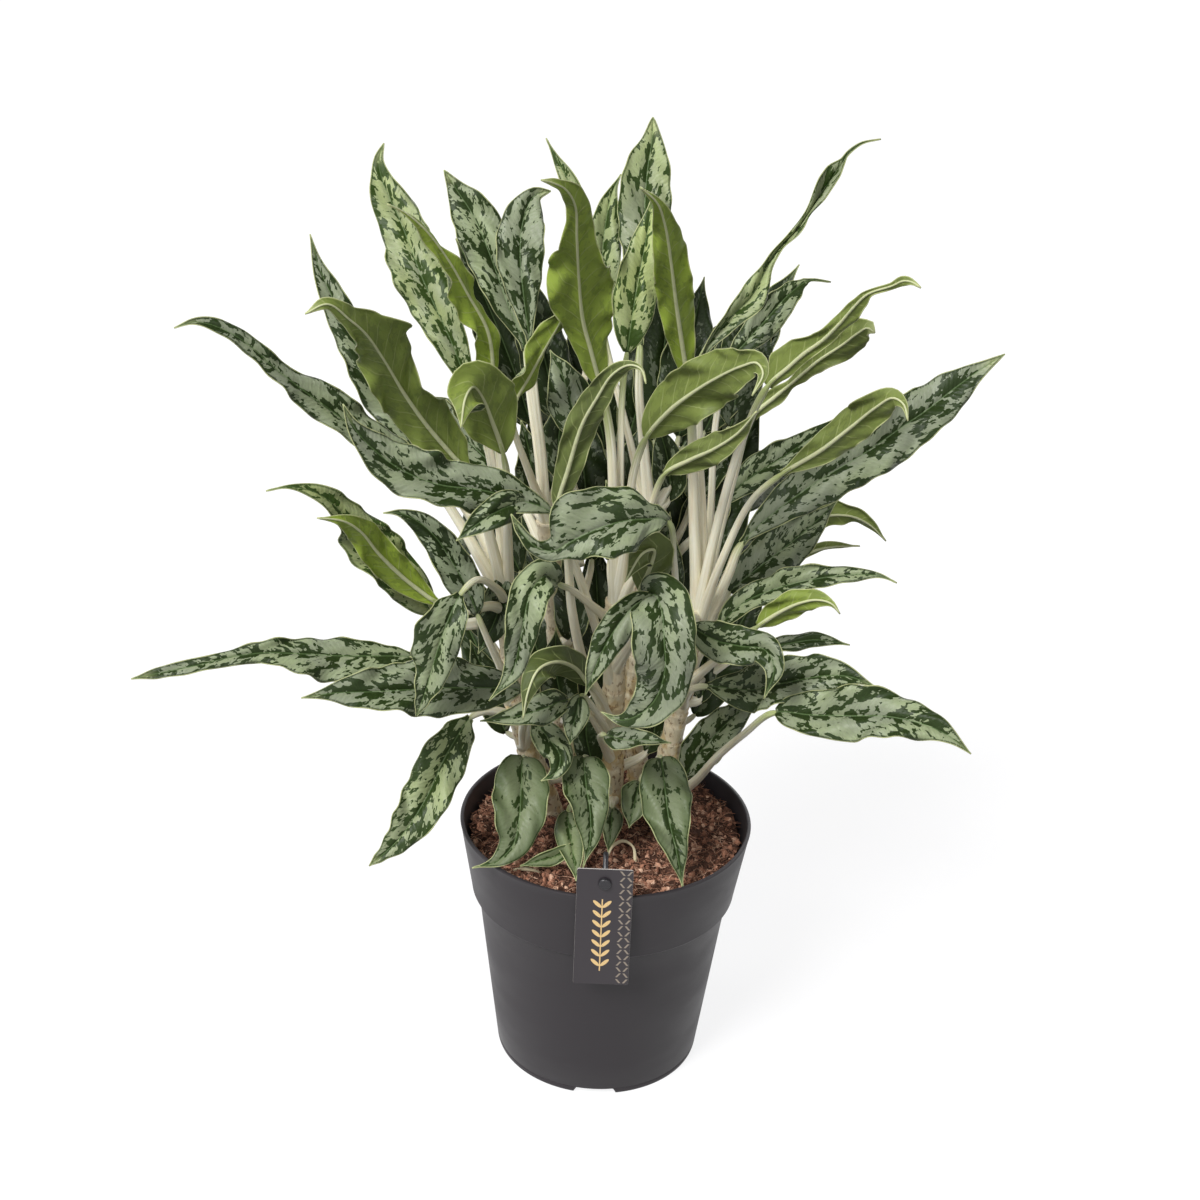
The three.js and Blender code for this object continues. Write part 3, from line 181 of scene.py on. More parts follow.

# Each leaf: its stem, the way of its stalk from the cane to the blade, the way of its midrib
# from foot to tip, and its widest width in mm. face is 1 where the front view sees the upper
# face and -1 where it sees the underside, lift tips the upper face skyward, roll turns the
# blade about its midrib from foot to tip, and fold raises both halves, in degrees. widest is
# the part of its length where a plain blade is widest, and taper how it narrows from there;
# edges are the half widths of one that isn't plain, as (part of length, left, right) in mm.
# joined=True is a leaf that is one body with its stem, and joined="name" with that leaf.
# young runs from 0, an old dark leaf, to 1, a young yellow-green one, and shade, painted shade that
# darkens the leaf's colours, runs from 0, a leaf in full view, to 1, one that is only seen as shade
# behind the others.
LEAVES = {
    # the left side, from the top down
    "leaf_crown_left": dict(
        stem="stem_left", width=36, widest=0.5, taper=0.75, roll=(0, -15), young=0.6,
        stalk=[(507, 600, -3), (500, 520, 4), (488, 445, 10)],
        rib=[(472, 398, 18), (453, 346, 30), (424, 282, 52), (400, 220, 78), (383, 182, 92), (379, 160, 100),
          (384, 143, 104)]),
    "leaf_crown_left_pale": dict(
        stem="stem_left", width=24, face=-1, widest=0.3, roll=(45, 50), young=1,
        stalk=[(508, 610, -3), (506, 520, -8), (498, 440, -12)],
        rib=[(491, 390, -14), (492, 360, -17), (487, 330, -22), (469, 297, -32), (448, 260, -46),
          (425, 230, -60), (405, 213, -70), (387, 204, -78)]),
    "leaf_left_high": dict(
        stem="stem_left", width=28, lift=0.3, widest=0.45, taper=0.9,
        stalk=[(507, 596, -3), (484, 540, 16), (460, 500, 30)],
        rib=[(438, 466, 40), (406, 430, 48), (378, 392, 58), (356, 345, 70), (336, 305, 80), (318, 265, 90),
          (310, 234, 96)]),
    "leaf_left_pale": dict(
        stem="stem_left", face=-1, fold=12, young=0.35,
        stalk=[(508, 606, -3), (496, 560, -14), (484, 515, -20)],
        rib=[(469, 474, -24), (451, 454, -30), (428, 427, -40), (405, 395, -54), (384, 360, -72),
          (366, 334, -88), (350, 320, -98), (327, 304, -108), (305, 314, -112)],
        edges=[(0, 3, 3), (0.12, 14, 15), (0.26, 15, 19), (0.4, 17, 12), (0.54, 17, 19), (0.66, 12, 26),
          (0.75, 8, 14), (0.84, 5, 7), (0.93, 3, 4), (1, 0.6, 0.6)]),
    "leaf_left_far": dict(
        stem="stem_left", lift=0.5, stalk=[(506, 602, -3), (484, 565, 0), (458, 520, 8)],
        rib=[(430, 482, 12), (384, 450, 12), (345, 421, 8), (300, 388, 0), (272, 366, -6), (250, 346, -11),
          (222, 329, -16), (195, 322, -20), (174, 328, -22)],
        edges=[(0, 3, 3), (0.16, 13, 13), (0.34, 14, 14), (0.48, 12, 13), (0.6, 9, 7), (0.7, 6, 6),
          (0.84, 5, 6), (1, 0.6, 0.6)]),
    "leaf_left_folded": dict(
        stem="stem_left", width=42, face=-1, fold=14, widest=0.42, taper=0.9, young=0.4,
        stalk=[(508, 602, -3), (507, 540, -22), (507, 485, -36)],
        rib=[(503, 453, -44), (492, 421, -52), (483, 398, -62), (473, 387, -76), (465, 399, -90),
          (461, 428, -98)]),
    "leaf_left_mid": dict(
        stem="stem_left", width=34, lift=0.4, widest=0.36, taper=1.3, young=0.9,
        stalk=[(509, 620, -3), (485, 622, -14), (457, 624, -24)],
        rib=[(432, 612, -30), (407, 585, -38), (384, 560, -46), (364, 540, -53), (346, 518, -61),
          (328, 500, -69), (311, 491, -75), (288, 487, -82), (266, 491, -88)]),
    "leaf_left_light": dict(
        stem="stem_left", width=24, face=-1, widest=0.45, young=1,
        stalk=[(508, 612, -3), (490, 606, -26), (466, 611, -44)],
        rib=[(440, 604, -54), (416, 588, -60), (396, 571, -68), (378, 553, -78), (361, 532, -90),
          (343, 521, -100), (317, 518, -110)]),
    "leaf_left_dark": dict(
        stem="stem_left", width=26, young=0, stalk=[(511, 700, -2), (503, 673, -18), (488, 640, -34)],
        rib=[(477, 614, -42), (466, 586, -44), (452, 562, -42), (437, 539, -40), (419, 522, -40),
          (400, 513, -40), (383, 513, -40)]),
    "leaf_left_droop": dict(
        stem="stem_left", fold=16, stalk=[(508, 604, -3), (496, 588, -36), (476, 580, -64)],
        rib=[(460, 595, -82), (450, 615, -92), (439, 645, -100), (431, 672, -104), (424, 695, -106),
          (416, 717, -106)],
        edges=[(0, 3, 3), (0.15, 12, 13), (0.32, 14, 19), (0.5, 13, 16), (0.68, 10, 9), (0.84, 5, 5),
          (1, 0.6, 0.6)]),
    "leaf_left_low": dict(
        stem="stem_left", lift=0.5, fold=14, stalk=[(513, 700, 0), (490, 685, -6), (452, 666, -14)],
        rib=[(412, 657, -20), (369, 656, -30), (340, 656, -36), (302, 654, -44), (264, 653, -51),
          (232, 657, -57), (199, 665, -63), (155, 674, -70), (131, 679, -74)],
        edges=[(0, 3, 3), (0.07, 8, 7), (0.16, 15, 10), (0.27, 19, 12), (0.4, 18, 12), (0.49, 12, 9),
          (0.56, 7, 7), (0.66, 7, 5), (0.78, 6, 5), (0.9, 4, 4), (1, 0.6, 0.6)]),
    "leaf_left_front": dict(
        stem="stem_left", width=42, lift=0.3, widest=0.45,
        stalk=[(524, 745, 8), (532, 722, -12), (534, 702, -30)],
        rib=[(522, 690, -44), (480, 688, -62), (443, 688, -76), (407, 690, -88), (370, 692, -98),
          (335, 693, -106), (301, 698, -112)]),
    "leaf_left_hang": dict(
        stem="stem_left", young=0.35, stalk=[(516, 720, 4), (500, 712, -10), (485, 711, -18)],
        rib=[(470, 718, -28), (455, 740, -42), (441, 765, -53), (430, 790, -62), (416, 815, -71),
          (396, 842, -80), (369, 866, -88)],
        edges=[(0, 3, 3), (0.12, 12, 12), (0.3, 18, 18), (0.5, 17, 18), (0.66, 14, 14), (0.8, 9, 9),
          (0.92, 4, 4), (1, 0.6, 0.6)]),
    "leaf_left_foot": dict(
        stem="stem_left", width=41, lift=0.2, widest=0.3, taper=1.25, young=0.25,
        stalk=[(543, 795, 16), (537, 778, 6), (528, 764, -6)],
        rib=[(523, 757, -18), (521, 790, -40), (519, 820, -58), (513, 845, -68), (497, 861, -74),
          (472, 868, -80)]),
    "leaf_left_small": dict(
        stem="stem_left", width=22, joined=True, young=0.2,
        stalk=[(524, 745, 6), (522, 728, -8), (526, 718, -16)],
        rib=[(534, 722, -24), (548, 738, -36), (560, 756, -46), (556, 772, -52), (541, 781, -56)]),
    # the middle
    "leaf_centre_long": dict(
        stem="stem_centre", width=36, lift=0.4, widest=0.5, taper=0.9,
        stalk=[(612, 720, 16), (586, 670, -10), (572, 610, -36), (566, 545, -60)],
        rib=[(554, 514, -72), (520, 500, -80), (480, 490, -88), (440, 485, -94), (405, 472, -98),
          (376, 452, -102), (354, 428, -105), (343, 404, -106)]),
    "leaf_centre_flap": dict(
        stem="stem_centre", width=22, joined="leaf_centre_long",
        rib=[(526, 502, -78), (504, 508, -92), (480, 522, -102), (456, 541, -108)]),
    # its shade value paints shade over this leaf's colours
    "leaf_centre_dark": dict(
        stem="stem_centre", width=21, face=-1, young=0, shade=0.5,
        stalk=[(614, 690, 12), (600, 640, -8), (582, 585, -28), (564, 535, -46)],
        rib=[(557, 510, -54), (568, 470, -60), (582, 425, -68), (597, 398, -76), (612, 375, -84),
          (630, 365, -94), (642, 370, -102), (646, 384, -106)]),
    "leaf_centre_bright": dict(
        stem="stem_centre", face=-1, fold=10, young=0.8, stalk=[(616, 610, 0), (614, 510, -6), (610, 435, -10)],
        rib=[(602, 393, -15), (592, 355, -24), (583, 320, -36), (579, 280, -54), (577, 240, -74),
          (575, 205, -92), (565, 189, -104), (553, 183, -112), (541, 180, -118)],
        edges=[(0, 3, 3), (0.13, 9, 10), (0.27, 13, 18), (0.41, 20, 21), (0.52, 18, 19), (0.63, 11, 12),
          (0.74, 6, 9), (0.85, 5, 8), (0.94, 2, 3), (1, 0.6, 0.6)]),
    "leaf_centre_curled": dict(
        stem="stem_right", lift=0.1, fold=12, stalk=[(690, 660, 14), (678, 612, -40), (674, 560, -70)],
        rib=[(668, 521, -88), (645, 519, -100), (620, 522, -108), (595, 530, -114), (572, 541, -118),
          (553, 551, -121), (536, 547, -122), (522, 533, -122), (511, 514, -121)],
        edges=[(0, 3, 3), (0.12, 9, 9), (0.27, 20, 22), (0.42, 21, 26), (0.56, 14, 27), (0.68, 7, 9),
          (0.8, 5, 4), (0.9, 3, 3), (1, 0.6, 0.6)]),
    # its shade value paints shade over this leaf's colours
    "leaf_centre_tucked": dict(
        stem="stem_centre", width=28, face=-1, young=0.1, shade=0.6,
        stalk=[(615, 650, 4), (628, 630, -22), (636, 608, -52)],
        rib=[(640, 590, -66), (650, 568, -75), (654, 550, -84), (642, 554, -94), (625, 582, -100)]),
    "leaf_centre_droop": dict(
        stem="stem_centre", width=42, fold=14, stalk=[(614, 670, 8), (628, 648, -24), (640, 618, -56)],
        rib=[(648, 598, -76), (656, 596, -94), (662, 612, -108), (664, 640, -118), (665, 668, -122),
          (656, 698, -122), (640, 714, -120), (620, 720, -115), (601, 712, -110)]),
    "leaf_centre_narrow": dict(
        stem="stem_centre", width=22, joined="leaf_centre_droop",
        rib=[(653, 595, -84), (634, 606, -90), (616, 628, -96), (602, 652, -100), (592, 676, -102),
          (585, 696, -102)]),
    "leaf_centre_under": dict(
        stem="stem_centre", width=18, joined=True, lift=0.4,
        stalk=[(612, 760, 20), (604, 745, 0), (600, 736, -30)],
        rib=[(606, 735, -50), (625, 740, -66), (648, 740, -78), (671, 743, -86)]),
    "leaf_centre_left": dict(
        stem="stem_centre", width=26, stalk=[(616, 625, 2), (592, 606, -24), (572, 590, -52)],
        rib=[(558, 584, -70), (544, 576, -88), (530, 594, -102), (521, 635, -112), (512, 672, -116),
          (489, 701, -118)]),
    # its shade value paints shade over this leaf's colours
    "leaf_centre_olive": dict(
        stem="stem_centre", width=24, face=-1, young=0, shade=0.9,
        stalk=[(613, 730, 18), (604, 706, -4), (596, 692, -20)],
        rib=[(588, 684, -32), (575, 668, -44), (555, 662, -60), (538, 670, -72), (528, 692, -80),
          (523, 719, -84)]),
    "leaf_centre_tongue": dict(
        stem="stem_centre", width=18, joined=True, stalk=[(613, 740, 19), (600, 718, -8), (588, 700, -26)],
        rib=[(580, 696, -38), (577, 712, -46), (572, 730, -52), (570, 745, -54)]),
    "leaf_centre_sill": dict(
        stem="stem_centre", width=22, joined=True, lift=0.4,
        stalk=[(613, 750, 20), (600, 730, 2), (585, 708, -16)],
        rib=[(568, 700, -34), (540, 710, -56), (510, 718, -66), (480, 721, -70)]),
    "leaf_centre_foot": dict(
        stem="stem_centre", width=34, lift=0.2, widest=0.3, taper=1.25,
        stalk=[(611, 790, 26), (600, 778, 8), (590, 763, -10)],
        rib=[(584, 757, -25), (586, 785, -44), (590, 812, -59), (590, 840, -70), (583, 868, -80)]),
    "leaf_centre_foot_low": dict(
        stem="stem_centre", width=22, joined=True, young=0.6,
        stalk=[(611, 805, 28), (596, 802, 14), (578, 802, -6)],
        rib=[(568, 812, -24), (570, 835, -44), (574, 860, -66), (576, 881, -82)]),
    "leaf_centre_foot_side": dict(
        stem="stem_centre", width=12, joined="leaf_centre_foot_low", young=0.6,
        rib=[(572, 846, -54), (556, 856, -60), (538, 861, -66), (520, 866, -70)]),
    "leaf_centre_foot_right": dict(
        stem="stem_centre", width=17, joined=True, stalk=[(612, 800, 28), (614, 800, 14), (613, 802, 2)],
        rib=[(612, 808, -6), (611, 830, -27), (608, 852, -44)]),
    "leaf_crown_yellow": dict(
        stem="stem_centre", width=29, taper=0.85, young=0.9,
        stalk=[(616, 600, 0), (620, 500, -4), (622, 400, -2)],
        rib=[(627, 352, 2), (633, 312, 8), (637, 286, 14), (644, 250, 24), (649, 222, 32), (652, 197, 38)]),
    "leaf_centre_right_high": dict(
        stem="stem_centre", width=37, face=-1, fold=12, young=0.2,
        stalk=[(617, 604, 0), (626, 540, -14), (634, 470, -26)],
        rib=[(646, 438, -32), (668, 412, -44), (695, 391, -60), (720, 376, -76), (742, 366, -90),
          (757, 363, -100), (763, 374, -108), (752, 396, -112)]),
    "leaf_centre_right_small": dict(
        stem="stem_centre", width=20, face=-1, young=0.1,
        stalk=[(617, 608, 0), (640, 560, -18), (653, 500, -36)],
        rib=[(665, 474, -46), (690, 460, -62), (714, 449, -80), (738, 433, -96), (757, 411, -110)]),
    # the right side, from the top down
    "leaf_right_bright": dict(
        stem="stem_right", width=24, face=-1, widest=0.45, taper=0.85, young=0.85,
        stalk=[(698, 618, 8), (694, 520, 4), (692, 430, 0)],
        rib=[(690, 390, -5), (684, 356, -13), (677, 310, -28), (671, 262, -48), (665, 225, -66),
          (657, 203, -78), (640, 187, -88)]),
    "leaf_right_twisted": dict(
        stem="stem_right", roll=(20, -20), fold=50, young=0.6,
        stalk=[(697, 616, 8), (702, 540, 10), (698, 430, 16)],
        rib=[(703, 355, 22), (733, 315, 34), (751, 297, 40), (769, 263, 50), (780, 247, 55), (796, 231, 60),
          (816, 202, 70), (834, 175, 77), (843, 162, 80), (847, 155, 82), (861, 144, 84), (881, 139, 86)],
        edges=[(0, 3, 3), (0.12, 8, 8), (0.27, 11, 11), (0.4, 5, 5), (0.47, 4, 4), (0.55, 7, 9), (0.62, 6, 5),
          (0.7, 9, 10), (0.78, 9, 8), (0.86, 2, 2), (1, 0.6, 0.6)]),
    "leaf_right_crown": dict(
        stem="stem_right", young=0.2, stalk=[(699, 620, 9), (710, 520, 30), (716, 420, 52)],
        rib=[(730, 360, 68), (745, 343, 74), (762, 324, 82), (786, 297, 92), (800, 285, 98), (810, 280, 102),
          (831, 282, 106)],
        edges=[(0, 3, 3), (0.15, 8, 8), (0.35, 11, 12), (0.5, 11, 12), (0.66, 8, 8), (0.78, 3, 3),
          (0.84, 1, 1), (1, 0.6, 0.6)]),
    "leaf_right_pale": dict(
        stem="stem_right", face=-1, fold=10, young=0.2, stalk=[(698, 614, 8), (716, 530, -8), (742, 440, -20)],
        rib=[(768, 386, -30), (789, 367, -36), (805, 353, -42), (823, 340, -50), (839, 324, -58),
          (853, 308, -66), (868, 294, -75), (892, 286, -86), (903, 281, -92), (912, 282, -97),
          (921, 288, -101)],
        edges=[(0, 3, 3), (0.05, 8, 4), (0.1, 14, 5), (0.21, 12, 5), (0.33, 7, 5), (0.46, 5, 5), (0.58, 4, 7),
          (0.66, 3, 5), (0.74, 2, 2), (0.83, 2, 2), (0.9, 3, 3), (1, 0.6, 0.6)]),
    "leaf_right_round": dict(
        stem="stem_right", face=-1, fold=12, young=0.1, stalk=[(699, 622, 9), (718, 540, 10), (736, 470, 8)],
        rib=[(752, 418, 4), (776, 396, 0), (792, 383, -6), (805, 372, -12), (818, 361, -18), (842, 345, -30),
          (858, 333, -40), (868, 328, -46), (875, 333, -50)],
        edges=[(0, 3, 3), (0.1, 5, 5), (0.18, 6, 6), (0.3, 3, 3), (0.42, 5, 5), (0.54, 7, 7), (0.66, 11, 10),
          (0.8, 11, 10), (0.89, 9, 8), (0.95, 5, 5), (1, 0.6, 0.6)]),
    "leaf_right_back": dict(
        stem="stem_right", width=24, lift=0.3, stalk=[(699, 622, 10), (706, 570, 28), (714, 530, 42)],
        rib=[(722, 505, 52), (748, 479, 64), (780, 459, 78), (812, 437, 92), (842, 415, 104)]),
    "leaf_right_long": dict(
        stem="stem_right", width=41, lift=0.2, fold=12, widest=0.5, taper=0.8,
        stalk=[(694, 640, 11), (712, 610, 8), (728, 575, 5)],
        rib=[(742, 543, 2), (775, 512, 4), (820, 480, 9), (865, 453, 17), (905, 425, 26), (927, 410, 31),
          (951, 391, 37), (977, 372, 43), (1005, 354, 48)]),
    "leaf_right_folded": dict(
        stem="stem_right", width=25, face=-1, widest=0.5, young=0.15,
        stalk=[(698, 626, 9), (722, 560, -14), (752, 500, -30)],
        rib=[(782, 474, -38), (820, 451, -50), (850, 428, -62), (875, 408, -76), (893, 398, -86),
          (904, 405, -94), (908, 421, -100)]),
    "leaf_right_dark": dict(
        stem="stem_right", width=36, stalk=[(694, 650, 13), (708, 630, 22), (720, 608, 30)],
        rib=[(730, 592, 34), (758, 568, 42), (788, 545, 52), (815, 522, 60), (838, 500, 68)]),
    "leaf_right_hook": dict(
        stem="stem_right", width=24, face=-1, lift=0.6, young=0.25,
        stalk=[(696, 640, 13), (718, 600, 50), (740, 570, 74)],
        rib=[(770, 540, 90), (795, 526, 96), (818, 517, 102), (850, 516, 106), (870, 525, 108),
          (886, 541, 108)]),
    "leaf_right_sliver": dict(
        stem="stem_right", width=12, joined=True, face=-1, lift=0.6, young=0.3,
        stalk=[(690, 665, 14), (715, 620, 38), (740, 592, 56)],
        rib=[(765, 572, 68), (799, 556, 76), (830, 547, 82), (860, 546, 86)]),
    "leaf_right_mid": dict(
        stem="stem_right", width=22, lift=0.5, stalk=[(688, 675, 16), (698, 655, 10), (708, 640, 6)],
        rib=[(718, 627, 2), (745, 602, 2), (785, 586, 0), (816, 579, -3), (850, 575, -7), (880, 576, -11),
          (897, 583, -14)]),
    "leaf_right_droop": dict(
        stem="stem_right", width=20, face=-1, lift=0.3, young=0.5,
        stalk=[(686, 685, 18), (710, 665, -2), (738, 642, -18)],
        rib=[(758, 626, -28), (780, 612, -38), (800, 603, -46), (818, 600, -52), (832, 604, -56),
          (840, 614, -58)]),
    "leaf_right_lower_sliver": dict(
        stem="stem_right", width=14, joined=True, lift=0.6,
        stalk=[(685, 690, 18), (712, 672, 20), (738, 656, 20)],
        rib=[(760, 650, 20), (784, 645, 20), (815, 640, 18), (850, 645, 16)]),
    "leaf_right_shelf": dict(
        stem="stem_right", width=28, stalk=[(697, 618, 9), (688, 616, -14), (684, 616, -44)],
        rib=[(692, 626, -60), (715, 640, -74), (740, 646, -86), (765, 650, -98), (774, 668, -108),
          (764, 699, -114)]),
    "leaf_right_low": dict(
        stem="stem_right", width=38, lift=0.3, widest=0.45,
        stalk=[(682, 705, 20), (686, 696, -4), (694, 688, -26)],
        rib=[(708, 686, -36), (750, 690, -48), (790, 682, -67), (825, 676, -77), (850, 677, -84),
          (876, 687, -90)]),
    "leaf_right_lowest": dict(
        stem="stem_right", width=38, lift=0.4, taper=0.9,
        stalk=[(668, 800, 38), (694, 782, 14), (716, 758, -20), (744, 734, -56)],
        rib=[(776, 712, -84), (810, 715, -98), (850, 716, -110), (890, 717, -121), (925, 725, -130),
          (950, 737, -136), (971, 754, -141)]),
    "leaf_right_rising": dict(
        stem="stem_right", width=30, stalk=[(668, 796, 38), (674, 792, 34), (680, 785, 28)],
        rib=[(685, 776, 22), (700, 752, 16), (720, 730, 10), (743, 707, 4), (765, 685, -4)]),
    "leaf_right_foot": dict(
        stem="stem_right", width=36, lift=0.2, widest=0.32, taper=1.15,
        stalk=[(668, 775, 34), (662, 768, 14), (658, 760, -6)],
        rib=[(661, 758, -20), (665, 790, -42), (669, 820, -58), (677, 855, -72), (683, 889, -84)]),
    "leaf_right_foot_side": dict(
        stem="stem_right", width=24, joined=True, stalk=[(667, 785, 36), (654, 780, 16), (644, 776, 2)],
        rib=[(640, 782, -8), (634, 805, -25), (629, 828, -38)]),
    # the back, seen between and above the others
    "leaf_crown_back_left": dict(
        stem="stem_back_left", width=35, widest=0.55, taper=0.75, young=0.15,
        stalk=[(546, 525, 45), (538, 450, 54), (530, 395, 62)],
        rib=[(525, 350, 72), (506, 300, 88), (490, 255, 104), (474, 217, 118), (458, 192, 126),
          (444, 170, 132)]),
    "leaf_crown_back_middle": dict(
        stem="stem_back_left", width=33, widest=0.6, taper=0.8, young=0.15,
        stalk=[(546, 522, 45), (542, 450, 38), (536, 400, 36)],
        rib=[(531, 350, 40), (524, 300, 52), (520, 250, 68), (524, 217, 80), (535, 195, 88), (551, 191, 90)]),
    "leaf_crown_back_narrow": dict(
        stem="stem_back_left", width=21, young=0.6, stalk=[(548, 530, 46), (570, 450, 70), (586, 370, 88)],
        rib=[(590, 310, 100), (584, 250, 114), (577, 205, 126), (567, 178, 134), (556, 158, 140),
          (546, 138, 144)]),
    "leaf_left_band": dict(
        stem="stem_back_left", width=26, face=-1, roll=(60, 60), young=0.7,
        stalk=[(547, 520, 45), (528, 470, 22), (514, 430, 6)],
        rib=[(512, 408, 0), (530, 375, -4), (548, 343, -8), (562, 318, -10), (574, 285, -10)]),
    "leaf_back_left_fill": dict(
        stem="stem_back_left", width=40, joined=True, stalk=[(547, 525, 45), (536, 490, 70), (526, 450, 92)],
        rib=[(524, 425, 104), (516, 380, 122), (510, 340, 138), (506, 305, 150), (505, 280, 156)]),
    "leaf_back_left_low": dict(
        stem="stem_back_left", width=32, joined=True, stalk=[(550, 560, 52), (562, 510, 34), (574, 465, 22)],
        rib=[(580, 440, 20), (572, 405, 26), (562, 375, 34), (550, 350, 42)]),
    "leaf_crown_top": dict(
        stem="stem_back_right", width=38, widest=0.6, taper=0.7, young=0.45,
        stalk=[(650, 520, 54), (644, 450, 48), (639, 390, 48)],
        rib=[(640, 345, 56), (642, 300, 68), (645, 250, 84), (645, 200, 102), (648, 165, 114), (652, 140, 122),
          (653, 117, 128)]),
    "leaf_crown_back_right": dict(
        stem="stem_back_right", width=28, young=0.5, stalk=[(649, 530, 56), (632, 450, 66), (612, 370, 74)],
        rib=[(602, 320, 82), (602, 260, 92), (606, 220, 102), (612, 193, 108), (621, 174, 112)]),
    "leaf_back_right_fill": dict(
        stem="stem_back_right", width=34, joined=True, stalk=[(650, 515, 54), (672, 480, 74), (690, 450, 92)],
        rib=[(698, 436, 98), (703, 415, 104), (708, 395, 110), (712, 375, 116)]),
    "leaf_back_right_low": dict(
        stem="stem_back_right", width=38, joined=True, stalk=[(645, 590, 62), (668, 555, 80), (686, 520, 94)],
        rib=[(692, 500, 100), (704, 465, 114), (716, 435, 126), (724, 405, 136)]),
}

FAR_LEAVES = {
    "leaf_far_left": dict(
        stem="stem_back_left", width=44, stalk=[(-49, 49, 385), (-44, 74, 410)],
        rib=[(-41, 92, 430), (-45, 128, 458), (-50, 168, 472), (-56, 204, 468), (-62, 236, 446)]),
    "leaf_far_right": dict(
        stem="stem_back_right", width=44, stalk=[(22, 58, 385), (34, 80, 415)],
        rib=[(44, 100, 440), (58, 135, 472), (74, 172, 488), (88, 206, 482), (98, 236, 460)]),
    "leaf_far_middle": dict(
        stem="stem_back_right", width=44, joined=True, stalk=[(21, 64, 330), (14, 84, 355)],
        rib=[(6, 102, 375), (0, 140, 400), (-4, 180, 405), (-6, 216, 390), (-6, 246, 362)]),
    "leaf_far_wide_left": dict(
        stem="stem_back_left", width=40, joined=True, stalk=[(-46, 53, 360), (-64, 76, 392)],
        rib=[(-80, 92, 410), (-112, 116, 432), (-144, 140, 438), (-172, 162, 424), (-192, 178, 398)]),
    "leaf_far_wide_right": dict(
        stem="stem_back_right", width=40, joined=True, stalk=[(21, 62, 345), (50, 82, 372)],
        rib=[(70, 98, 386), (92, 122, 400), (112, 148, 400), (128, 172, 384), (138, 192, 356)]),
    "leaf_far_low_left": dict(
        stem="stem_back_left", width=40, joined=True, stalk=[(-39, 58, 300), (-48, 82, 320)],
        rib=[(-56, 98, 332), (-78, 132, 345), (-98, 164, 340), (-114, 192, 318), (-124, 212, 290)]),
    "leaf_far_low_right": dict(
        stem="stem_back_right", width=40, joined=True, stalk=[(19, 66, 290), (40, 86, 310)],
        rib=[(56, 104, 322), (78, 136, 336), (98, 166, 332), (114, 192, 312), (124, 212, 286)]),
    "leaf_far_low_middle": dict(
        stem="stem_back_right", width=38, joined=True, stalk=[(17, 68, 270), (14, 90, 286)],
        rib=[(12, 108, 294), (8, 140, 300), (6, 172, 290), (4, 198, 266)]),
    "leaf_far_foot": dict(
        stem="stem_back_left", width=34, joined=True, stalk=[(-33, 62, 240), (-27, 86, 256)],
        rib=[(-24, 100, 264), (-30, 128, 268), (-36, 152, 256), (-40, 172, 232)]),
    "leaf_far_foot_right": dict(
        stem="stem_back_right", width=32, joined=True, stalk=[(17, 71, 228), (34, 88, 240)],
        rib=[(50, 102, 244), (62, 126, 246), (72, 148, 234), (78, 164, 214)]),
}


def in_view(point):
    """The place of a point (across, down, depth) of the front view."""
    across, down, depth = point
    dx, dy = across - VIEW_CENTRE, down - VIEW_CENTRE
    right = math.cos(VIEW_ROLL) * dx + math.sin(VIEW_ROLL) * dy
    below = math.cos(VIEW_ROLL) * dy - math.sin(VIEW_ROLL) * dx
    ray = np.array((
        right,
        VIEW_FOCAL * math.cos(VIEW_PITCH) - below * math.sin(VIEW_PITCH),
        -VIEW_FOCAL * math.sin(VIEW_PITCH) - below * math.cos(VIEW_PITCH),
    ))
    return EYE + ray * ((depth - EYE[1]) / ray[1])


def smooth(x, low, high):
    """A smooth step from 0 to 1 as x goes from low to high."""
    part = np.clip((x - low) / (high - low), 0, 1)
    return part * part * (3 - 2 * part)


def unit(vectors):
    return vectors / np.linalg.norm(vectors, axis=-1, keepdims=True)


def square_to(along, vectors):
    """Unit vectors that lie square to the directions, as near to the given ones as can be."""
    return unit(vectors - along * np.sum(vectors * along, axis=1, keepdims=True))


def turns(around):
    """Angles all the way round, in even steps."""
    return 2 * math.pi * np.arange(around) / around


def circle(radius, height, turn):
    """A ring of points about the z axis."""
    return np.stack((radius * np.cos(turn), radius * np.sin(turn), np.broadcast_to(height, turn.shape)), axis=1)


class Line:
    """A smooth line through points, as a centripetal Catmull-Rom curve, measured by its run."""

    STEPS_PER_SPAN = 24
    REACH = 2

    def __init__(self, points):
        points = [2 * points[0] - points[1], *points, 2 * points[-1] - points[-2]]
        knots = [points[1]]
        for p0, p1, p2, p3 in zip(points, points[1:], points[2:], points[3:]):
            d0, d1, d2 = (math.sqrt(np.linalg.norm(b - a)) for a, b in ((p0, p1), (p1, p2), (p2, p3)))
            leave = ((p1 - p0) / d0 - (p2 - p0) / (d0 + d1) + (p2 - p1) / d1) * d1
            arrive = ((p2 - p1) / d1 - (p3 - p1) / (d1 + d2) + (p3 - p2) / d2) * d1
            bend = 3 * (p2 - p1) - 2 * leave - arrive
            turn = 2 * (p1 - p2) + leave + arrive
            for step in range(1, self.STEPS_PER_SPAN + 1):
                t = step / self.STEPS_PER_SPAN
                knots.append(p1 + leave * t + bend * t**2 + turn * t**3)
        self.knots = np.array(knots)
        self.runs = np.concatenate(([0], np.cumsum(np.linalg.norm(np.diff(self.knots, axis=0), axis=1))))
        self.length = self.runs[-1]

    def run_at_point(self, number):
        return self.runs[number * self.STEPS_PER_SPAN]

    def at(self, run):
        return np.stack([np.interp(run, self.runs, self.knots[:, k]) for k in range(3)], axis=-1)

    def direction(self, run):
        after = self.at(np.minimum(self.length, run + self.REACH))
        return unit(after - self.at(np.maximum(0, run - self.REACH)))


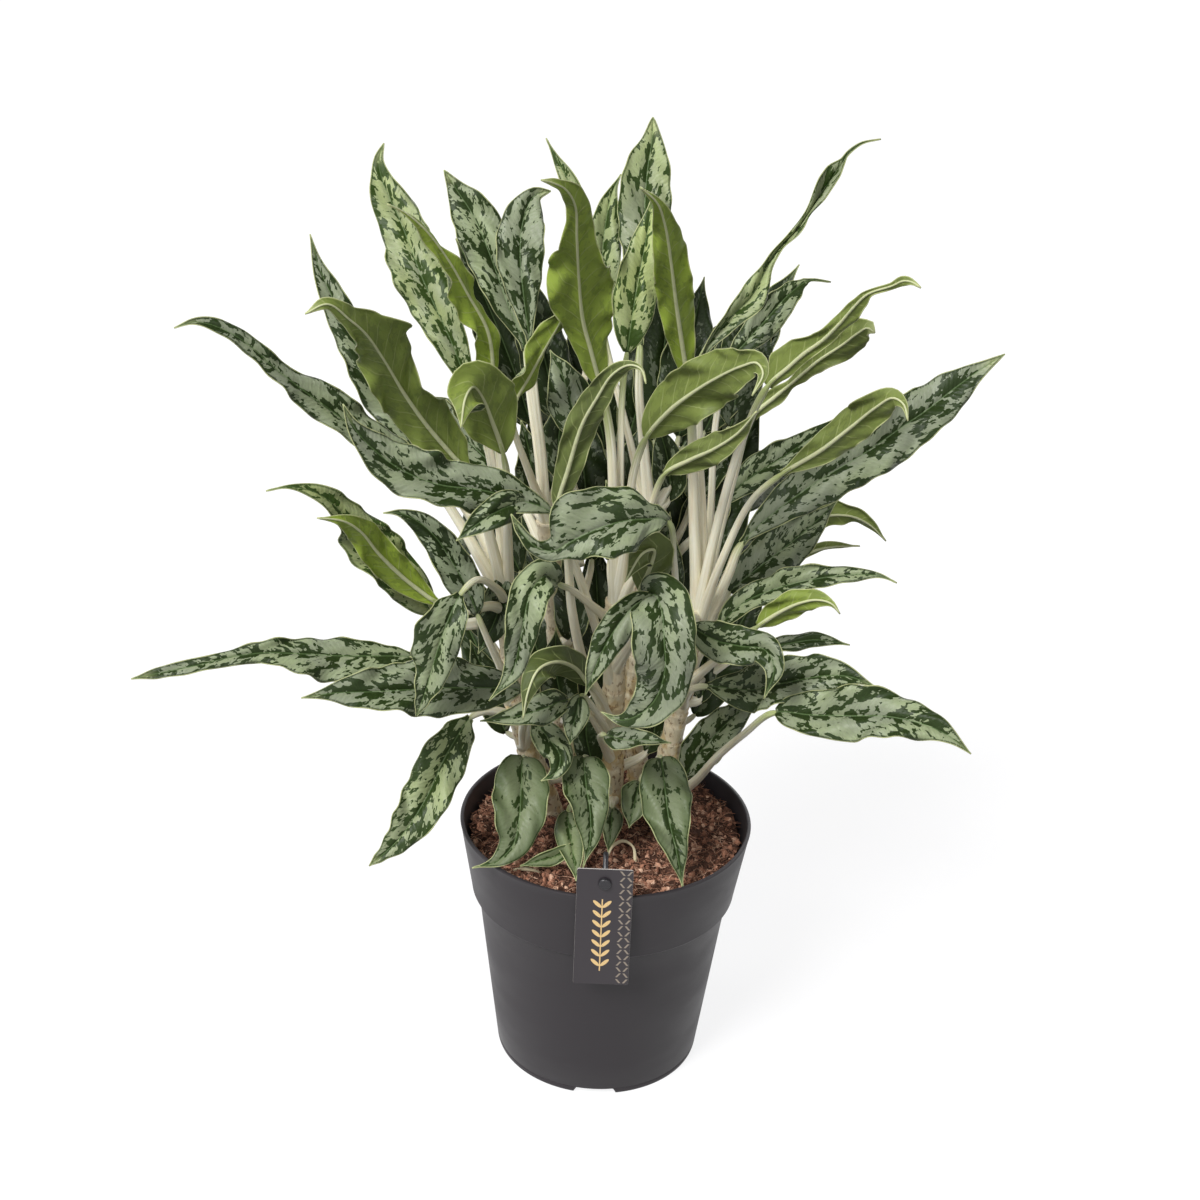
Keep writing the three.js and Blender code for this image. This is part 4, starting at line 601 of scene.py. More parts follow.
class Leaf:
    """One leaf of the plan, with its line, its half widths and the frame of its blade."""

    PLAIN = dict(stalk=(), width=0, face=1, lift=0, roll=(0, 0), fold=18, widest=0.38, taper=1, edges=None,
                 joined=None, young=0.15, shade=0)
    FOOT_HALF = 2.5
    TIP_HALF = 0.6
    FOOT_ROUNDNESS = 0.8
    TIP_DRAW = 0.35
    TIP_DRAWN = (0.78, 0.97)

    def __init__(self, name, number, place, plan):
        self.name, self.number = name, number
        vars(self).update({**self.PLAIN, **plan})
        self.line = Line([place(point) for point in (*self.stalk, *self.rib)])
        self.foot = self.line.run_at_point(len(self.stalk))
        self.length = self.line.length - self.foot
        self.phase = (number * GOLDEN_PART) % 1
        self.calm = float("foot" in name)

    def half(self, s, v):
        """Half width of the side v (-1 or 1) at parts s of the length."""
        if self.edges:
            rows = np.array(self.edges)
            after = np.clip(np.searchsorted(rows[:, 0], s), 1, len(rows) - 1)
            column = 1 if v * self.face < 0 else 2
            low, high = rows[after - 1], rows[after]
            return low[:, column] + (high[:, column] - low[:, column]) * smooth(s, low[:, 0], high[:, 0])
        eased = s ** (math.log(0.5) / math.log(self.widest))
        power = np.where(s < self.widest, self.FOOT_ROUNDNESS, self.taper)
        body = np.maximum(0, np.sin(math.pi * np.minimum(1, eased))) ** power
        drawn = 1 - self.TIP_DRAW * smooth(s, *self.TIP_DRAWN)
        least = np.where(s < 0.5, self.FOOT_HALF, self.TIP_HALF)
        return np.maximum(least, self.width / 2 * body * drawn)

    def frame(self, s):
        """Centre, upper face and side of the blade at parts s of its length."""
        run = self.foot + self.length * s
        centre, along = self.line.at(run), self.line.direction(run)
        facing = unit(EYE - centre) * self.face
        facing[:, 2] += self.lift
        facing = square_to(along, facing)
        roll = np.radians(self.roll[0] + (self.roll[1] - self.roll[0]) * s)[:, None]
        facing = facing * np.cos(roll) + np.cross(along, facing) * np.sin(roll)
        return centre, facing, np.cross(along, facing)


def inner_leaves():
    """Steep leaves in three tiers behind the canes, darkened in full with painted shade, seen as shade between
    the stalks.
    """
    plans = {}
    for k in range(INNER_LEAVES):
        across = -1 + 2 * k / (INNER_LEAVES - 1)
        tier = k % 3
        foot = np.array((
            76 * across,
            56 + 16 * tier + 34 * (k * GOLDEN_PART % 1),
            226 + 98 * tier + 44 * (k * 0.38 % 1),
        ))
        stem = "stem_back_left" if across < 0 else "stem_back_right"
        start = np.append(CANES[stem]["root"], max(200, foot[2] - 64))
        lean = unit(np.array((0.28 * across + 0.2 * math.sin(5 * k), 0.22, 1)))
        droop = np.array((14 * across, 22, -18))
        length = 108 + 40 * (k * 0.47 % 1)
        plans[f"inner_{k}"] = dict(
            stem=stem, joined=True, width=33 + 8 * (k * 0.29 % 1), young=0, fold=14, shade=1,
            stalk=[start, (start + foot) / 2 + (0, 6, 0)],
            rib=[foot + lean * length * part + droop * part**2 for part in (0, 0.25, 0.5, 0.75, 1)])
    return plans


def shade_leaves():
    """The leaves that the front view sees between the stalks, darkened with painted shade."""
    plans = {}
    for k, (stem, level, foot, tip, width) in enumerate(SHADE_WAYS):
        middle = np.add(foot, tip) / 2 + (5 * (-1) ** k, 0, 0)
        plans[f"shade_{k}"] = dict(stem=stem, joined=True, width=width, young=0, fold=16, shade=0.6,
                                   stalk=[CANES[stem]["way"][level]], rib=[foot, middle, tip])
    return plans


def planned_leaves():
    """All the leaves: those of the front view, and those placed by x, y and z."""
    plans = [(in_view, *item) for item in {**LEAVES, **shade_leaves()}.items()]
    plans += [(np.array, *item) for item in {**FAR_LEAVES, **inner_leaves()}.items()]
    return [Leaf(name, number, place, plan) for number, (place, name, plan) in enumerate(plans)]


def cane_line(name):
    x, y = CANES[name]["root"]
    below, above = SOIL_TOP - CANE_BELOW_SOIL, SOIL_TOP + CANE_UPRIGHT
    return Line([np.array((x, y, below)), np.array((x, y, above)), *map(in_view, CANES[name]["way"])])


# ---------- meshes ----------


def linked(name, data):
    """An object of this data, in the scene."""
    made = bpy.data.objects.new(name, data)
    bpy.context.scene.collection.objects.link(made)
    return made


def settled(made):
    """The plain mesh that an object comes to with its modifiers. The object goes."""
    mesh = bpy.data.meshes.new_from_object(made.evaluated_get(bpy.context.evaluated_depsgraph_get()))
    made.modifiers.clear()
    bpy.data.objects.remove(made)
    return mesh


def mended(mesh):
    """The mesh with its doubled points merged and its faces turned outwards."""
    made = bmesh.new()
    made.from_mesh(mesh)
    bmesh.ops.remove_doubles(made, verts=made.verts, dist=1e-6)
    bmesh.ops.recalc_face_normals(made, faces=made.faces)
    made.to_mesh(mesh)
    made.free()
    return mesh


def finished(name, mesh, slot, node, *finishes):
    """A piece at the origin that rides on the plant and stands for its node."""
    for finish in finishes:
        mesh.materials.append(finish)
    piece = linked(name, mesh)
    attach(piece, "root")
    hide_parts(node)


def ring_faces(rings, around):
    """Quads between rings of points that follow one another, facing outwards."""
    return [
        (ring * around + side, ring * around + (side + 1) % around,
         (ring + 1) * around + (side + 1) % around, (ring + 1) * around + side)
        for ring in range(rings - 1) for side in range(around)
    ]


class Shell:
    """Points, faces and point values of a piece that is being put together, in millimetres."""

    def __init__(self):
        self.points, self.faces, self.finishes, self.values, self.count = [], [], [], {}, 0

    def add(self, points, faces, finishes=None, **values):
        """Adds a part. Each value is one number, or an array with a number for each point."""
        points = np.reshape(points, (-1, 3))
        self.points.append(points)
        self.faces += [[self.count + corner for corner in face] for face in faces]
        self.finishes += finishes or [0] * len(faces)
        for name, value in values.items():
            self.values.setdefault(name, []).append((self.count, np.broadcast_to(value, len(points))))
        self.count += len(points)

    def wrap(self, rings, ends=(), finish=0, **values):
        """Adds a skin over rings of points, closed at each end by a fan to a point, if there are ends."""
        count, around = len(rings), len(rings[0])
        faces = ring_faces(count, around)
        if ends:
            foot, last = count * around, (count - 1) * around
            faces += [(foot, (side + 1) % around, side) for side in range(around)]
            faces += [(foot + 1, last + side, last + (side + 1) % around) for side in range(around)]
        self.add(np.concatenate((*rings, *([end] for end in ends))), faces, [finish] * len(faces), **values)

    def tube(self, line, radius, around, step, up, end=None, channel=0, sunk=None, **values):
        """Adds a rod along a line to end, with its radius at each run. channel hollows its upper
        side, and sunk lowers it from the line, in mm, at each run."""
        end = end or line.length
        runs = np.linspace(0, end, max(3, math.ceil(end / step) + 1))
        centre, along = line.at(runs), line.direction(runs)
        up = square_to(along, up)
        if sunk:
            centre = centre - up * sunk(runs)[:, None]
        turn = turns(around)
        from_top = np.minimum(turn, 2 * math.pi - turn)
        wide = radius(runs)[:, None] * (1 - channel * np.exp(-(from_top / CHANNEL_HALF) ** 2)) \
            * (1 + 0.02 * np.cos(9 * turn))
        rings = centre[:, None] + up[:, None] * (wide * np.cos(turn))[..., None] \
            + np.cross(along, up)[:, None] * (wide * np.sin(turn))[..., None]
        run = np.concatenate((np.repeat(runs, around), runs[:1], runs[-1:]))
        self.wrap(rings, (centre[0], centre[-1]), run=run, reach=run / end,
                  turn=np.append(np.tile(turn, len(runs)), (0, 0)), **values)

    def mesh(self, name, sharp_from=None):
        mesh = bpy.data.meshes.new(name)
        mesh.from_pydata((np.concatenate(self.points) * MM).tolist(), [], self.faces)
        mesh.polygons.foreach_set("material_index", self.finishes)
        for value_name, parts in self.values.items():
            filled = np.zeros(self.count, np.float32)
            for start, numbers in parts:
                filled[start:start + len(numbers)] = numbers
            mesh.attributes.new(value_name, "FLOAT", "POINT").data.foreach_set("value", filled)
        mesh.validate()
        mesh.shade_smooth()
        if sharp_from:
            mesh.set_sharp_from_angle(angle=math.radians(sharp_from))
        return mesh


# ---------- blades and stems ----------

# The places of the finishes on a blade and on a stem.
UPPER, UNDER = 0, 1
CANE, STALK = 0, 1

# Where a blade has its points, in parts of its half width.
HALF_ACROSS = (0.04, 0.09, 0.18, 0.3, 0.43, 0.56, 0.69, 0.81, 0.91, 1)
ACROSS = np.array([-v for v in reversed(HALF_ACROSS)] + [0, *HALF_ACROSS])

# Parts of the half width that the margin swings by, and that each half is puffed up by.
SCALLOP = 0.032
PUFF = 0.12
# Lengths in mm.
SCALLOP_LENGTH = 19
SWELL_LENGTH = 31
FULL_WAVE_HALF = 15
GROOVE_DEPTH = 0.5
GROOVE_HALF = 1.1
KEEL_AT_FOOT = 1.3
KEEL_AT_TIP = 0.35
EDGE_ROUNDING = 0.25
CANE_RADIUS = 8.4
CANE_NARROWING = 1.7
RING_HEIGHT = 0.8
STALK_RADIUS = 4.1
STALK_NARROWING = 1.4
STALK_SINKING = 1.5
SHEATH = 9
SHEATH_START = 8
RIPPLES_PER_METRE = 17
FRILLS_PER_RIPPLE = 2.6
# Radians from the top of a stalk over which its channel fades out.
CHANNEL_HALF = 0.55


def wave(turn):
    return np.sin(2 * math.pi * turn)


def add_blade(shell, leaf, sizes):
    """A thin closed blade with a sunken midrib, puffed halves, side veins and waved margins."""
    count = int(np.clip(leaf.length / sizes.blade_step, 26, 110))
    s = np.linspace(0, 1, count)
    centre, facing, side = leaf.frame(s)
    part, v = s[:, None], ACROSS[None, :]
    arch = np.sin(math.pi * part)
    along = part * leaf.length
    half = np.where(v < 0, leaf.half(s, -1)[:, None], leaf.half(s, 1)[:, None])
    scallop = wave(along / SCALLOP_LENGTH + leaf.phase + 0.3 * np.sign(v))
    half = half * (1 - 0.6 * smooth(part, 0.985, 1)) * (1 + SCALLOP * scallop * arch)
    width = np.abs(v) * half

    growth = arch * np.minimum(1, half / FULL_WAVE_HALF)
    ripples = leaf.length * MM * RIPPLES_PER_METRE * part
    ripple = sizes.ripple * v**2 * wave(ripples + leaf.phase + 0.37 * v)
    frill = sizes.frill * v**4 * wave(FRILLS_PER_RIPPLE * ripples + 3.1 * leaf.phase + 0.6 * v)
    swell = sizes.swell * wave(along / SWELL_LENGTH + 0.9 * v + 2.3 * leaf.phase) * np.sin(math.pi * v**2)
    veins = sizes.vein_relief * (1.3 - leaf.young) * np.sin(math.pi * np.abs(v)) \
        * wave((along - sizes.vein_slant * width) / sizes.vein_spacing)
    puff = PUFF * half * np.sin(math.pi * np.abs(v) ** 0.8) * arch ** 0.5
    fold = math.radians(leaf.fold) * (1 + 0.4 * wave(1.4 * part + 1.7 * leaf.phase) * arch)
    rise = width * np.sin(fold) + (ripple + frill + swell + veins) * growth + puff
    middle = centre[:, None] + side[:, None] * (v * half * np.cos(fold))[..., None] \
        + facing[:, None] * rise[..., None]

    outward = unit(np.gradient(middle, axis=1))
    normal = unit(np.cross(outward, np.gradient(middle, axis=0)))
    groove = GROOVE_DEPTH * np.exp(-(width / GROOVE_HALF) ** 2) * (1 - part) ** 0.5
    stout = (1 - part) ** 1.5
    keel = (KEEL_AT_FOOT * stout + KEEL_AT_TIP) * np.exp(-(width / (0.55 + 0.9 * stout)) ** 2)
    thick = sizes.blade_thickness / 2
    upper = middle + normal * (thick - groove)[..., None]
    under = middle - normal * (thick + keel)[..., None]
    left = middle[:, :1] - outward[:, :1] * EDGE_ROUNDING
    right = middle[:, -1:] + outward[:, -1:] * EDGE_ROUNDING

    # Each ring runs over the upper face, round the right edge, back below and round the left edge.
    # The faces below start at their second corner, so that both skins fold along the same lines.
    n = len(ACROSS)
    around = 2 * n + 2
    cap = [(k, 2 * n - k, 2 * n - k - 1, k + 1) for k in range(n - 1)]
    cap += [(0, 2 * n + 1, 2 * n), (n - 1, n + 1, n)]
    finishes = ([UPPER] * n + [UNDER] * (n + 1) + [UPPER]) * (count - 1)
    faces = [(*face[1:], face[0]) if finish == UNDER else face
             for face, finish in zip(ring_faces(count, around), finishes)]
    faces += cap + [[(count - 1) * around + corner for corner in reversed(face)] for face in cap]
    finishes += [UPPER] * (2 * len(cap))

    def at_points(rows):
        rows = np.broadcast_to(rows, half.shape)
        return np.concatenate((rows, rows[:, -1:], rows[:, ::-1], rows[:, :1]), axis=1).ravel()

    shell.add(
        np.concatenate((upper, right, under[:, ::-1], left), axis=1), faces, finishes,
        across=at_points(v * half), along=at_points(along), inset=at_points(half - width),
        span=at_points(np.abs(v)), tip=at_points(part), young=leaf.young, shade=leaf.shade,
        calm=leaf.calm, leaf_seed=7.3 * leaf.number)


def ring_marks(run, spacing, sine):
    """How far along one of its uneven rings a cane is, from 0 to 1, at a run of it."""
    return (run / spacing + sine(run / 19) * 0.35 + sine(run / 7) * 0.2) % 1


def add_stem(shell, name, leaves, sizes):
    """A ringed cane and the channelled stalks that leave it, each widening to its sheath."""
    line = cane_line(name)

    def cane_radius(run):
        part = run / line.length
        shaft = CANE_RADIUS - CANE_NARROWING * part
        rings = RING_HEIGHT * ring_marks(run, sizes.ring_spacing, np.sin) ** 1.5
        return shaft + rings + 0.5 * np.sin(run / 11 + part) + 1.2 * np.exp(-run / 40)

    shell.tube(line, cane_radius, around=28, step=1.6, up=(0, -1, 0.2), finish=CANE, young=0)
    for leaf in leaves:
        if leaf.stem != name or not leaf.stalk:
            continue
        foot, end = leaf.foot, leaf.foot + min(SHEATH, leaf.length / 8)
        facing = leaf.frame(np.array((0.0, 0.02)))[1][0]
        stout = np.clip(leaf.length / 170, 0.7, 1)

        def stalk_radius(run):
            shaft = STALK_RADIUS - STALK_NARROWING * run / end - 1.9 * smooth(run, foot - SHEATH_START, end)
            return stout * shaft + 2.2 * np.exp(-run / 24)

        shell.tube(leaf.line, stalk_radius, around=18, step=3, up=facing, end=end, channel=0.3, finish=STALK,
                   sunk=lambda run: STALK_SINKING * smooth(run, foot - SHEATH_START, foot + 3),
                   young=leaf.young, leaf_seed=3.7 * leaf.number)


# ---------- finishes ----------


def operator(name, turned=False):
    """A method that adds a Math node, with its two values exchanged when it is turned."""
    def method(self, *other):
        return self.sheet.math(name, *((*other, self) if turned else (self, *other)))
    return method


class Value:
    """A number that varies over a surface. Maths on it adds Math nodes to its finish."""

    def __init__(self, sheet, socket):
        self.sheet, self.socket = sheet, socket

    __add__ = __radd__ = operator("ADD")
    __mul__ = __rmul__ = operator("MULTIPLY")
    __sub__, __rsub__ = operator("SUBTRACT"), operator("SUBTRACT", turned=True)
    __truediv__, __rtruediv__ = operator("DIVIDE"), operator("DIVIDE", turned=True)
    __pow__, __mod__ = operator("POWER"), operator("FLOORED_MODULO")
    __gt__, __lt__ = operator("GREATER_THAN"), operator("LESS_THAN")
    __abs__ = operator("ABSOLUTE")


class Sheet:
    """A node tree that is written in Python, one node at a time."""

    def __init__(self, tree):
        self.tree = tree

    def feed(self, socket, value):
        """Links the value to the socket, or sets the socket where the value is a plain one."""
        if isinstance(value, Value):
            value = value.socket
        if isinstance(value, bpy.types.NodeSocket):
            self.tree.links.new(value, socket)
        else:
            socket.default_value = value

    def node(self, kind, settings=None, sockets=None):
        """A node with its settings made first, then its sockets given values or links."""
        made = self.tree.nodes.new(kind)
        for name, setting in (settings or {}).items():
            setattr(made, name, setting)
        for key, value in (sockets or {}).items():
            self.feed(made.inputs[key], value)
        return made

    def math(self, operation, *values):
        made = self.node("ShaderNodeMath", {"operation": operation}, dict(enumerate(values)))
        return Value(self, made.outputs[0])

    def sine(self, value):
        return self.math("SINE", value)


class Finish(Sheet):
    """A material whose base is one Principled BSDF. Its colours go by their names in the looks."""

    def __init__(self, name, looks, **sockets):
        self.material, self.looks = bpy.data.materials.new(name), looks
        self.material.use_nodes = True
        super().__init__(self.material.node_tree)
        self.tree.nodes.clear()
        self.shader = self.node("ShaderNodeBsdfPrincipled")
        self.node("ShaderNodeOutputMaterial", {}, {"Surface": self.shader.outputs[0]})
        self.set(**sockets)

    def set(self, **sockets):
        """The material, with the shader's sockets linked or set. Their names have _ for a space."""
        for name, value in sockets.items():
            self.feed(self.shader.inputs[name.replace("_", " ")], value)
        return self.material

    def value(self, name):
        return Value(self, self.node("ShaderNodeAttribute", {"attribute_name": name}).outputs["Fac"])

    def place(self):
        """The x, y and z of a point, in millimetres."""
        coordinates = self.node("ShaderNodeTexCoord").outputs["Object"]
        split = self.node("ShaderNodeSeparateXYZ", {}, {0: coordinates})
        return [Value(self, split.outputs[k]) / MM for k in range(3)]

    def noise(self, place, detail=2, roughness=0.5, scale=1):
        """A noise from 0 to 1 at a place that is given as three numbers."""
        vector = self.node("ShaderNodeCombineXYZ", {}, dict(enumerate(place))).outputs[0]
        made = self.node("ShaderNodeTexNoise", {}, {
            "Vector": vector, "Scale": scale, "Detail": detail, "Roughness": roughness})
        return Value(self, made.outputs[0])

    def ease(self, value, low, high, start=0, end=1):
        """A smooth step from start to end as the value goes from low to high."""
        made = self.node("ShaderNodeMapRange", {"interpolation_type": "SMOOTHSTEP"}, {
            "Value": value, "From Min": low, "From Max": high, "To Min": start, "To Max": end})
        return Value(self, made.outputs[0])

    def colour(self, given):
        """The colour of this name in the looks, or the given one when it isn't a name."""
        return (*getattr(self.looks, given), 1) if isinstance(given, str) else given

    def layered(self, base, *layers):
        """A base colour with others mixed over it in turn, each as (factor, colour)."""
        for factor, above in layers:
            base = self.node("ShaderNodeMix", {"data_type": "RGBA"}, {
                0: factor, 6: self.colour(base), 7: self.colour(above)}).outputs[2]
        return base

    def bump(self, height, depth):
        """A bump of the given depth in mm, for heights from 0 to 1."""
        return self.node("ShaderNodeBump", {}, {"Distance": depth * MM, "Height": height}).outputs[0]


def leaf_pattern(finish):
    """How dark the leaf's pattern is, from 0 on the silver to 1 on the green, with its flow."""
    across, along, span, inset = map(finish.value, ("across", "along", "span", "inset"))
    seed, calm, shade, young = map(finish.value, ("leaf_seed", "calm", "shade", "young"))
    width, half = abs(across), (across > 0) * 40
    feather = along - width * 0.8
    warp = finish.noise((along * 0.09, across * 0.11, seed)) - 0.5
    blotch = finish.noise((feather * 0.07 + warp, width * 0.125 + half, seed), 3, 0.58)
    fleck = finish.noise((feather * 0.19 + warp * 2, width * 0.27 + half, seed + 11), 2, 0.6)
    streak = finish.noise((feather * 0.8, width * 0.1 + half, seed + 23))
    middle = finish.ease(span, 0, 0.5, 1, 0)
    margin = finish.ease(inset, 0.5, 4, 1, 0)
    # shade spreads more dark green over a shaded leaf, as painted shade
    share = finish.noise((seed * 1.7, 3, 0), 1) * 0.12 + shade * 0.1
    share = share + calm * (middle * 0.1 - 0.085) - young * 0.025
    deep = blotch * 0.78 + fleck * 0.6 + middle * 0.07 + margin * (streak * 0.36 - 0.13) + share - 0.785
    spots = fleck * 1.05 + blotch * 0.3 + finish.ease(span, 0.3, 0.95) * 0.05 + share - 0.905
    pattern = finish.math("MAXIMUM", finish.ease(deep, -0.014, 0.01), finish.ease(spots, -0.012, 0.01))
    return pattern, feather, warp


def upper_leaf_finish(looks):
    """The upper face: silver-green, with dark green feathered out from the midrib."""
    finish = Finish("leaf_upper", looks, Specular_IOR_Level=0.2, Subsurface_Weight=0.04,
                    Subsurface_Scale=0.002, Subsurface_Radius=(0.5, 1, 0.25))
    pattern, feather, warp = leaf_pattern(finish)
    across, along, span, inset, tip = map(finish.value, ("across", "along", "span", "inset", "tip"))
    seed, calm, shade, young = map(finish.value, ("leaf_seed", "calm", "shade", "young"))
    width = abs(across)
    drift = finish.noise((along * 0.02, width * 0.05, seed + 30))
    grain = finish.noise((feather * 0.8, width * 0.45, seed + 50), 3, 0.7)
    greyed = finish.noise((seed * 2.3, 9, 0), 1)
    silver = finish.layered(
        "silver_old", (young, "silver_young"),
        (finish.ease(drift * 0.5 + greyed * 0.5, 0.36, 0.62) * 0.75, "silver_shaded"),
        (calm * finish.ease(span, 0.05, 0.9, 0.75, 1), "silver_low"),
        (calm * finish.ease(span, 0.45, 0.95) * 0.5, "green_light"),
        (finish.ease(grain, 0.42, 0.7) * 0.2, "green_light"))
    green = finish.layered(
        "green_old", (young, "green_young"), (finish.ease(grain, 0.5, 0.72) * 0.35, "green_light"))
    rim = finish.ease(inset, 0.8, 1.9, 1, 0) * finish.ease(grain, 0.3, 0.45)
    # shade * 0.55 mixes dark green over a shaded leaf as painted shade
    face = finish.layered(
        silver, (shade * 0.55, green), (pattern, green), (finish.ease(tip, 0.9, 1) * 0.75, "tip"),
        (rim * 0.8, green), (finish.ease(width, 0.3, 0.65, 0.45, 0), "midrib_upper"),
        (finish.ease(inset, 0.15, 0.42, 0.75, 0), "margin"))
    veins = finish.sine(feather * (2 * math.pi / 3.7) + warp * 4) * 0.5 + 0.5
    pucker = finish.noise((feather * 0.13, width * 0.09, seed + 60))
    return finish.set(Base_Color=face, Roughness=finish.ease(grain, 0.2, 0.8, 0.34, 0.52),
                      Normal=finish.bump(veins * 0.08 + grain * 0.14 + pattern * 0.05 + pucker, 1.1))


def under_leaf_finish(looks):
    """The underside: plain olive, paler where young, with a cream midrib and faint side veins."""
    finish = Finish("leaf_under", looks, Specular_IOR_Level=0.22, Subsurface_Weight=0.08,
                    Subsurface_Scale=0.002, Subsurface_Radius=(0.6, 1, 0.2))
    pattern, feather, warp = leaf_pattern(finish)
    across, along, span, inset, tip = map(finish.value, ("across", "along", "span", "inset", "tip"))
    seed, shade, young = map(finish.value, ("leaf_seed", "shade", "young"))
    width = abs(across)
    drift = finish.noise((along * 0.03, width * 0.07, seed + 70), 3)
    grain = finish.noise((feather * 1.1, width * 0.8, seed + 90), 3, 0.7)
    pucker = finish.noise((feather * 0.12, width * 0.1, seed + 60))
    curved = along - width * 0.75 - width * width * 0.022 + (across > 0) * 5
    vein = abs(finish.sine(curved * (math.pi / 13) + warp * 0.8))
    vein = finish.ease(vein, 0.02, 0.2, 1, 0) * finish.ease(span, 0.4, 1, 0.45, 0)
    rib = finish.ease(width - (1 - tip) ** 2 * 0.75, 0.15, 0.5, 1, 0)
    # shade mixes the underside towards under_dark and fades its light drifts, as painted shade
    face = finish.layered(
        "under_old", (young, "under_young"), (shade * 0.75, "under_dark"), (pattern * 0.3, "under_dark"),
        (finish.ease(drift, 0.42, 0.72) * (0.4 - young * 0.25) * (1 - shade), "under_light"),
        (vein, "vein_under"), (rib * 0.9, "midrib_under"), (finish.ease(tip, 0.93, 1) * 0.6, "tip"),
        (finish.ease(inset, 0.15, 0.45, 0.75, 0), "margin"))
    return finish.set(Base_Color=face, Roughness=finish.ease(grain, 0.2, 0.8, 0.42, 0.6),
                      Normal=finish.bump(grain * 0.12 + vein * 0.25 + pucker * 0.8, 0.9))


def stalk_finish(looks):
    """Cream stalks with lengthwise streaks, turning green under the blade."""
    finish = Finish("stalk", looks, Specular_IOR_Level=0.45, Subsurface_Weight=0.15,
                    Subsurface_Scale=0.004, Subsurface_Radius=(1, 0.8, 0.5))
    run, reach, turn, seed, young = map(finish.value, ("run", "reach", "turn", "leaf_seed", "young"))
    streak = finish.noise((turn * 2.3, run * 0.012, seed), 3, 0.6)
    fine = finish.noise((turn * 9, run * 0.05, seed + 5), 2, 0.6)
    blush = finish.noise((turn * 0.8, run * 0.03, seed + 9))
    scar = finish.ease(finish.noise((turn * 0.9, run * 0.13, seed + 20), 3, 0.6), 0.68, 0.76)
    skin = finish.layered(
        "stalk_cream", (finish.ease(streak, 0.3, 0.7), "stalk_shaded"),
        (finish.ease(blush, 0.5, 0.75) * 0.5, "stalk_blush"),
        (finish.ease(reach + (streak - 0.5) * 0.25 + young * 0.1, 0.72, 0.98), "stalk_green"),
        (scar * finish.ease(run, 8, 50, 0.55, 0), "scar"))
    return finish.set(Base_Color=skin, Roughness=finish.ease(fine, 0.2, 0.8, 0.34, 0.55),
                      Normal=finish.bump(fine * 0.6 + streak * 0.6, 0.3))


def cane_finish(looks, sizes):
    """Beige canes with brown and yellow ring scars, more of them low down."""
    finish = Finish("cane", looks)
    run, turn = map(finish.value, ("run", "turn"))
    x, y, z = finish.place()
    tone = finish.noise((x * 0.09, y * 0.09, z * 0.05), 3, 0.6)
    mottle = finish.noise((x * 0.25, y * 0.25, z * 0.16), 3, 0.65)
    streak = finish.noise((turn * 3, run * 0.03, 2), 3, 0.6)
    rings = ring_marks(run, sizes.ring_spacing, finish.sine)
    low = finish.ease(z, 200, 420, 1, 0.55)
    skin = finish.layered(
        "cane_beige", (finish.ease(tone, 0.3, 0.7), "stalk_cream"),
        (finish.ease(streak, 0.45, 0.75) * 0.5, "cane_tan"),
        (finish.ease(rings, 0, 0.3, 0.7, 0) * low * finish.ease(mottle, 0.38, 0.6), "scar"),
        (finish.ease(tone, 0.44, 0.6) * low * 0.8, "cane_amber"),
        (finish.ease(mottle + streak * 0.2, 0.65, 0.75) * low * 0.85, "cane_brown"))
    return finish.set(Base_Color=skin, Roughness=finish.ease(mottle, 0.3, 0.7, 0.42, 0.68),
                      Normal=finish.bump(streak * 0.5 + mottle * 0.5 + rings * 0.3, 0.5))


def soil_finish(looks, name, bias):
    """Reddish-brown coir and peat, each crumb with its own tone. A higher bias is lighter."""
    finish = Finish(name, looks, Roughness=0.95, Specular_IOR_Level=0.2)
    tone, place = finish.value("tone"), finish.place()
    coarse = finish.noise([side * 0.09 for side in place], 3, 0.6)
    fine = finish.noise([side * 0.9 for side in place], 3, 0.7)
    earth = finish.layered(
        "soil_dark", (finish.ease(tone * 0.7 + coarse * 0.5 + bias, 0.25, 0.85), "soil_red"),
        (finish.ease(tone + (fine - 0.5) * 0.4 + bias, 0.72, 1.05), "soil_tan"),
        (finish.ease(fine, 0.5, 0.75) * 0.4, "soil_dark"))
    return finish.set(Base_Color=earth, Normal=finish.bump(fine, 0.5))


def root_finish(looks):
    """Pale bare roots."""
    finish = Finish("root", looks, Roughness=0.8)
    tone = finish.noise((finish.value("run") * 0.3, 0, 0), 3)
    return finish.set(Base_Color=finish.layered("cane_tan", (tone, "stalk_shaded")),
                      Normal=finish.bump(tone, 0.3))


def pot_finish(looks):
    """Matt moulded charcoal plastic with a fine grain and faint scuffs."""
    finish = Finish("pot_plastic", looks, Specular_IOR_Level=0.4)
    x, y, z = finish.place()
    grain = finish.noise((x, y, z), 3, 0.6, 2.2)
    cloud = finish.noise((x * 0.012, y * 0.012, z * 0.03), 3, 0.55)
    scuff = finish.noise((x * 0.05, y * 0.05, z * 0.9), 4, 0.7)
    rubbed = finish.ease(scuff, 0.62, 0.75)
    shell = finish.layered(
        "pot", (finish.ease(cloud, 0.35, 0.7) * 0.5, "pot_light"), (rubbed * 0.25, "pot_scuff"))
    return finish.set(Base_Color=shell, Roughness=finish.ease(cloud, 0.3, 0.7, 0.44, 0.56) + rubbed * 0.1,
                      Normal=finish.bump(grain * 0.7 + scuff * 0.3, 0.06))


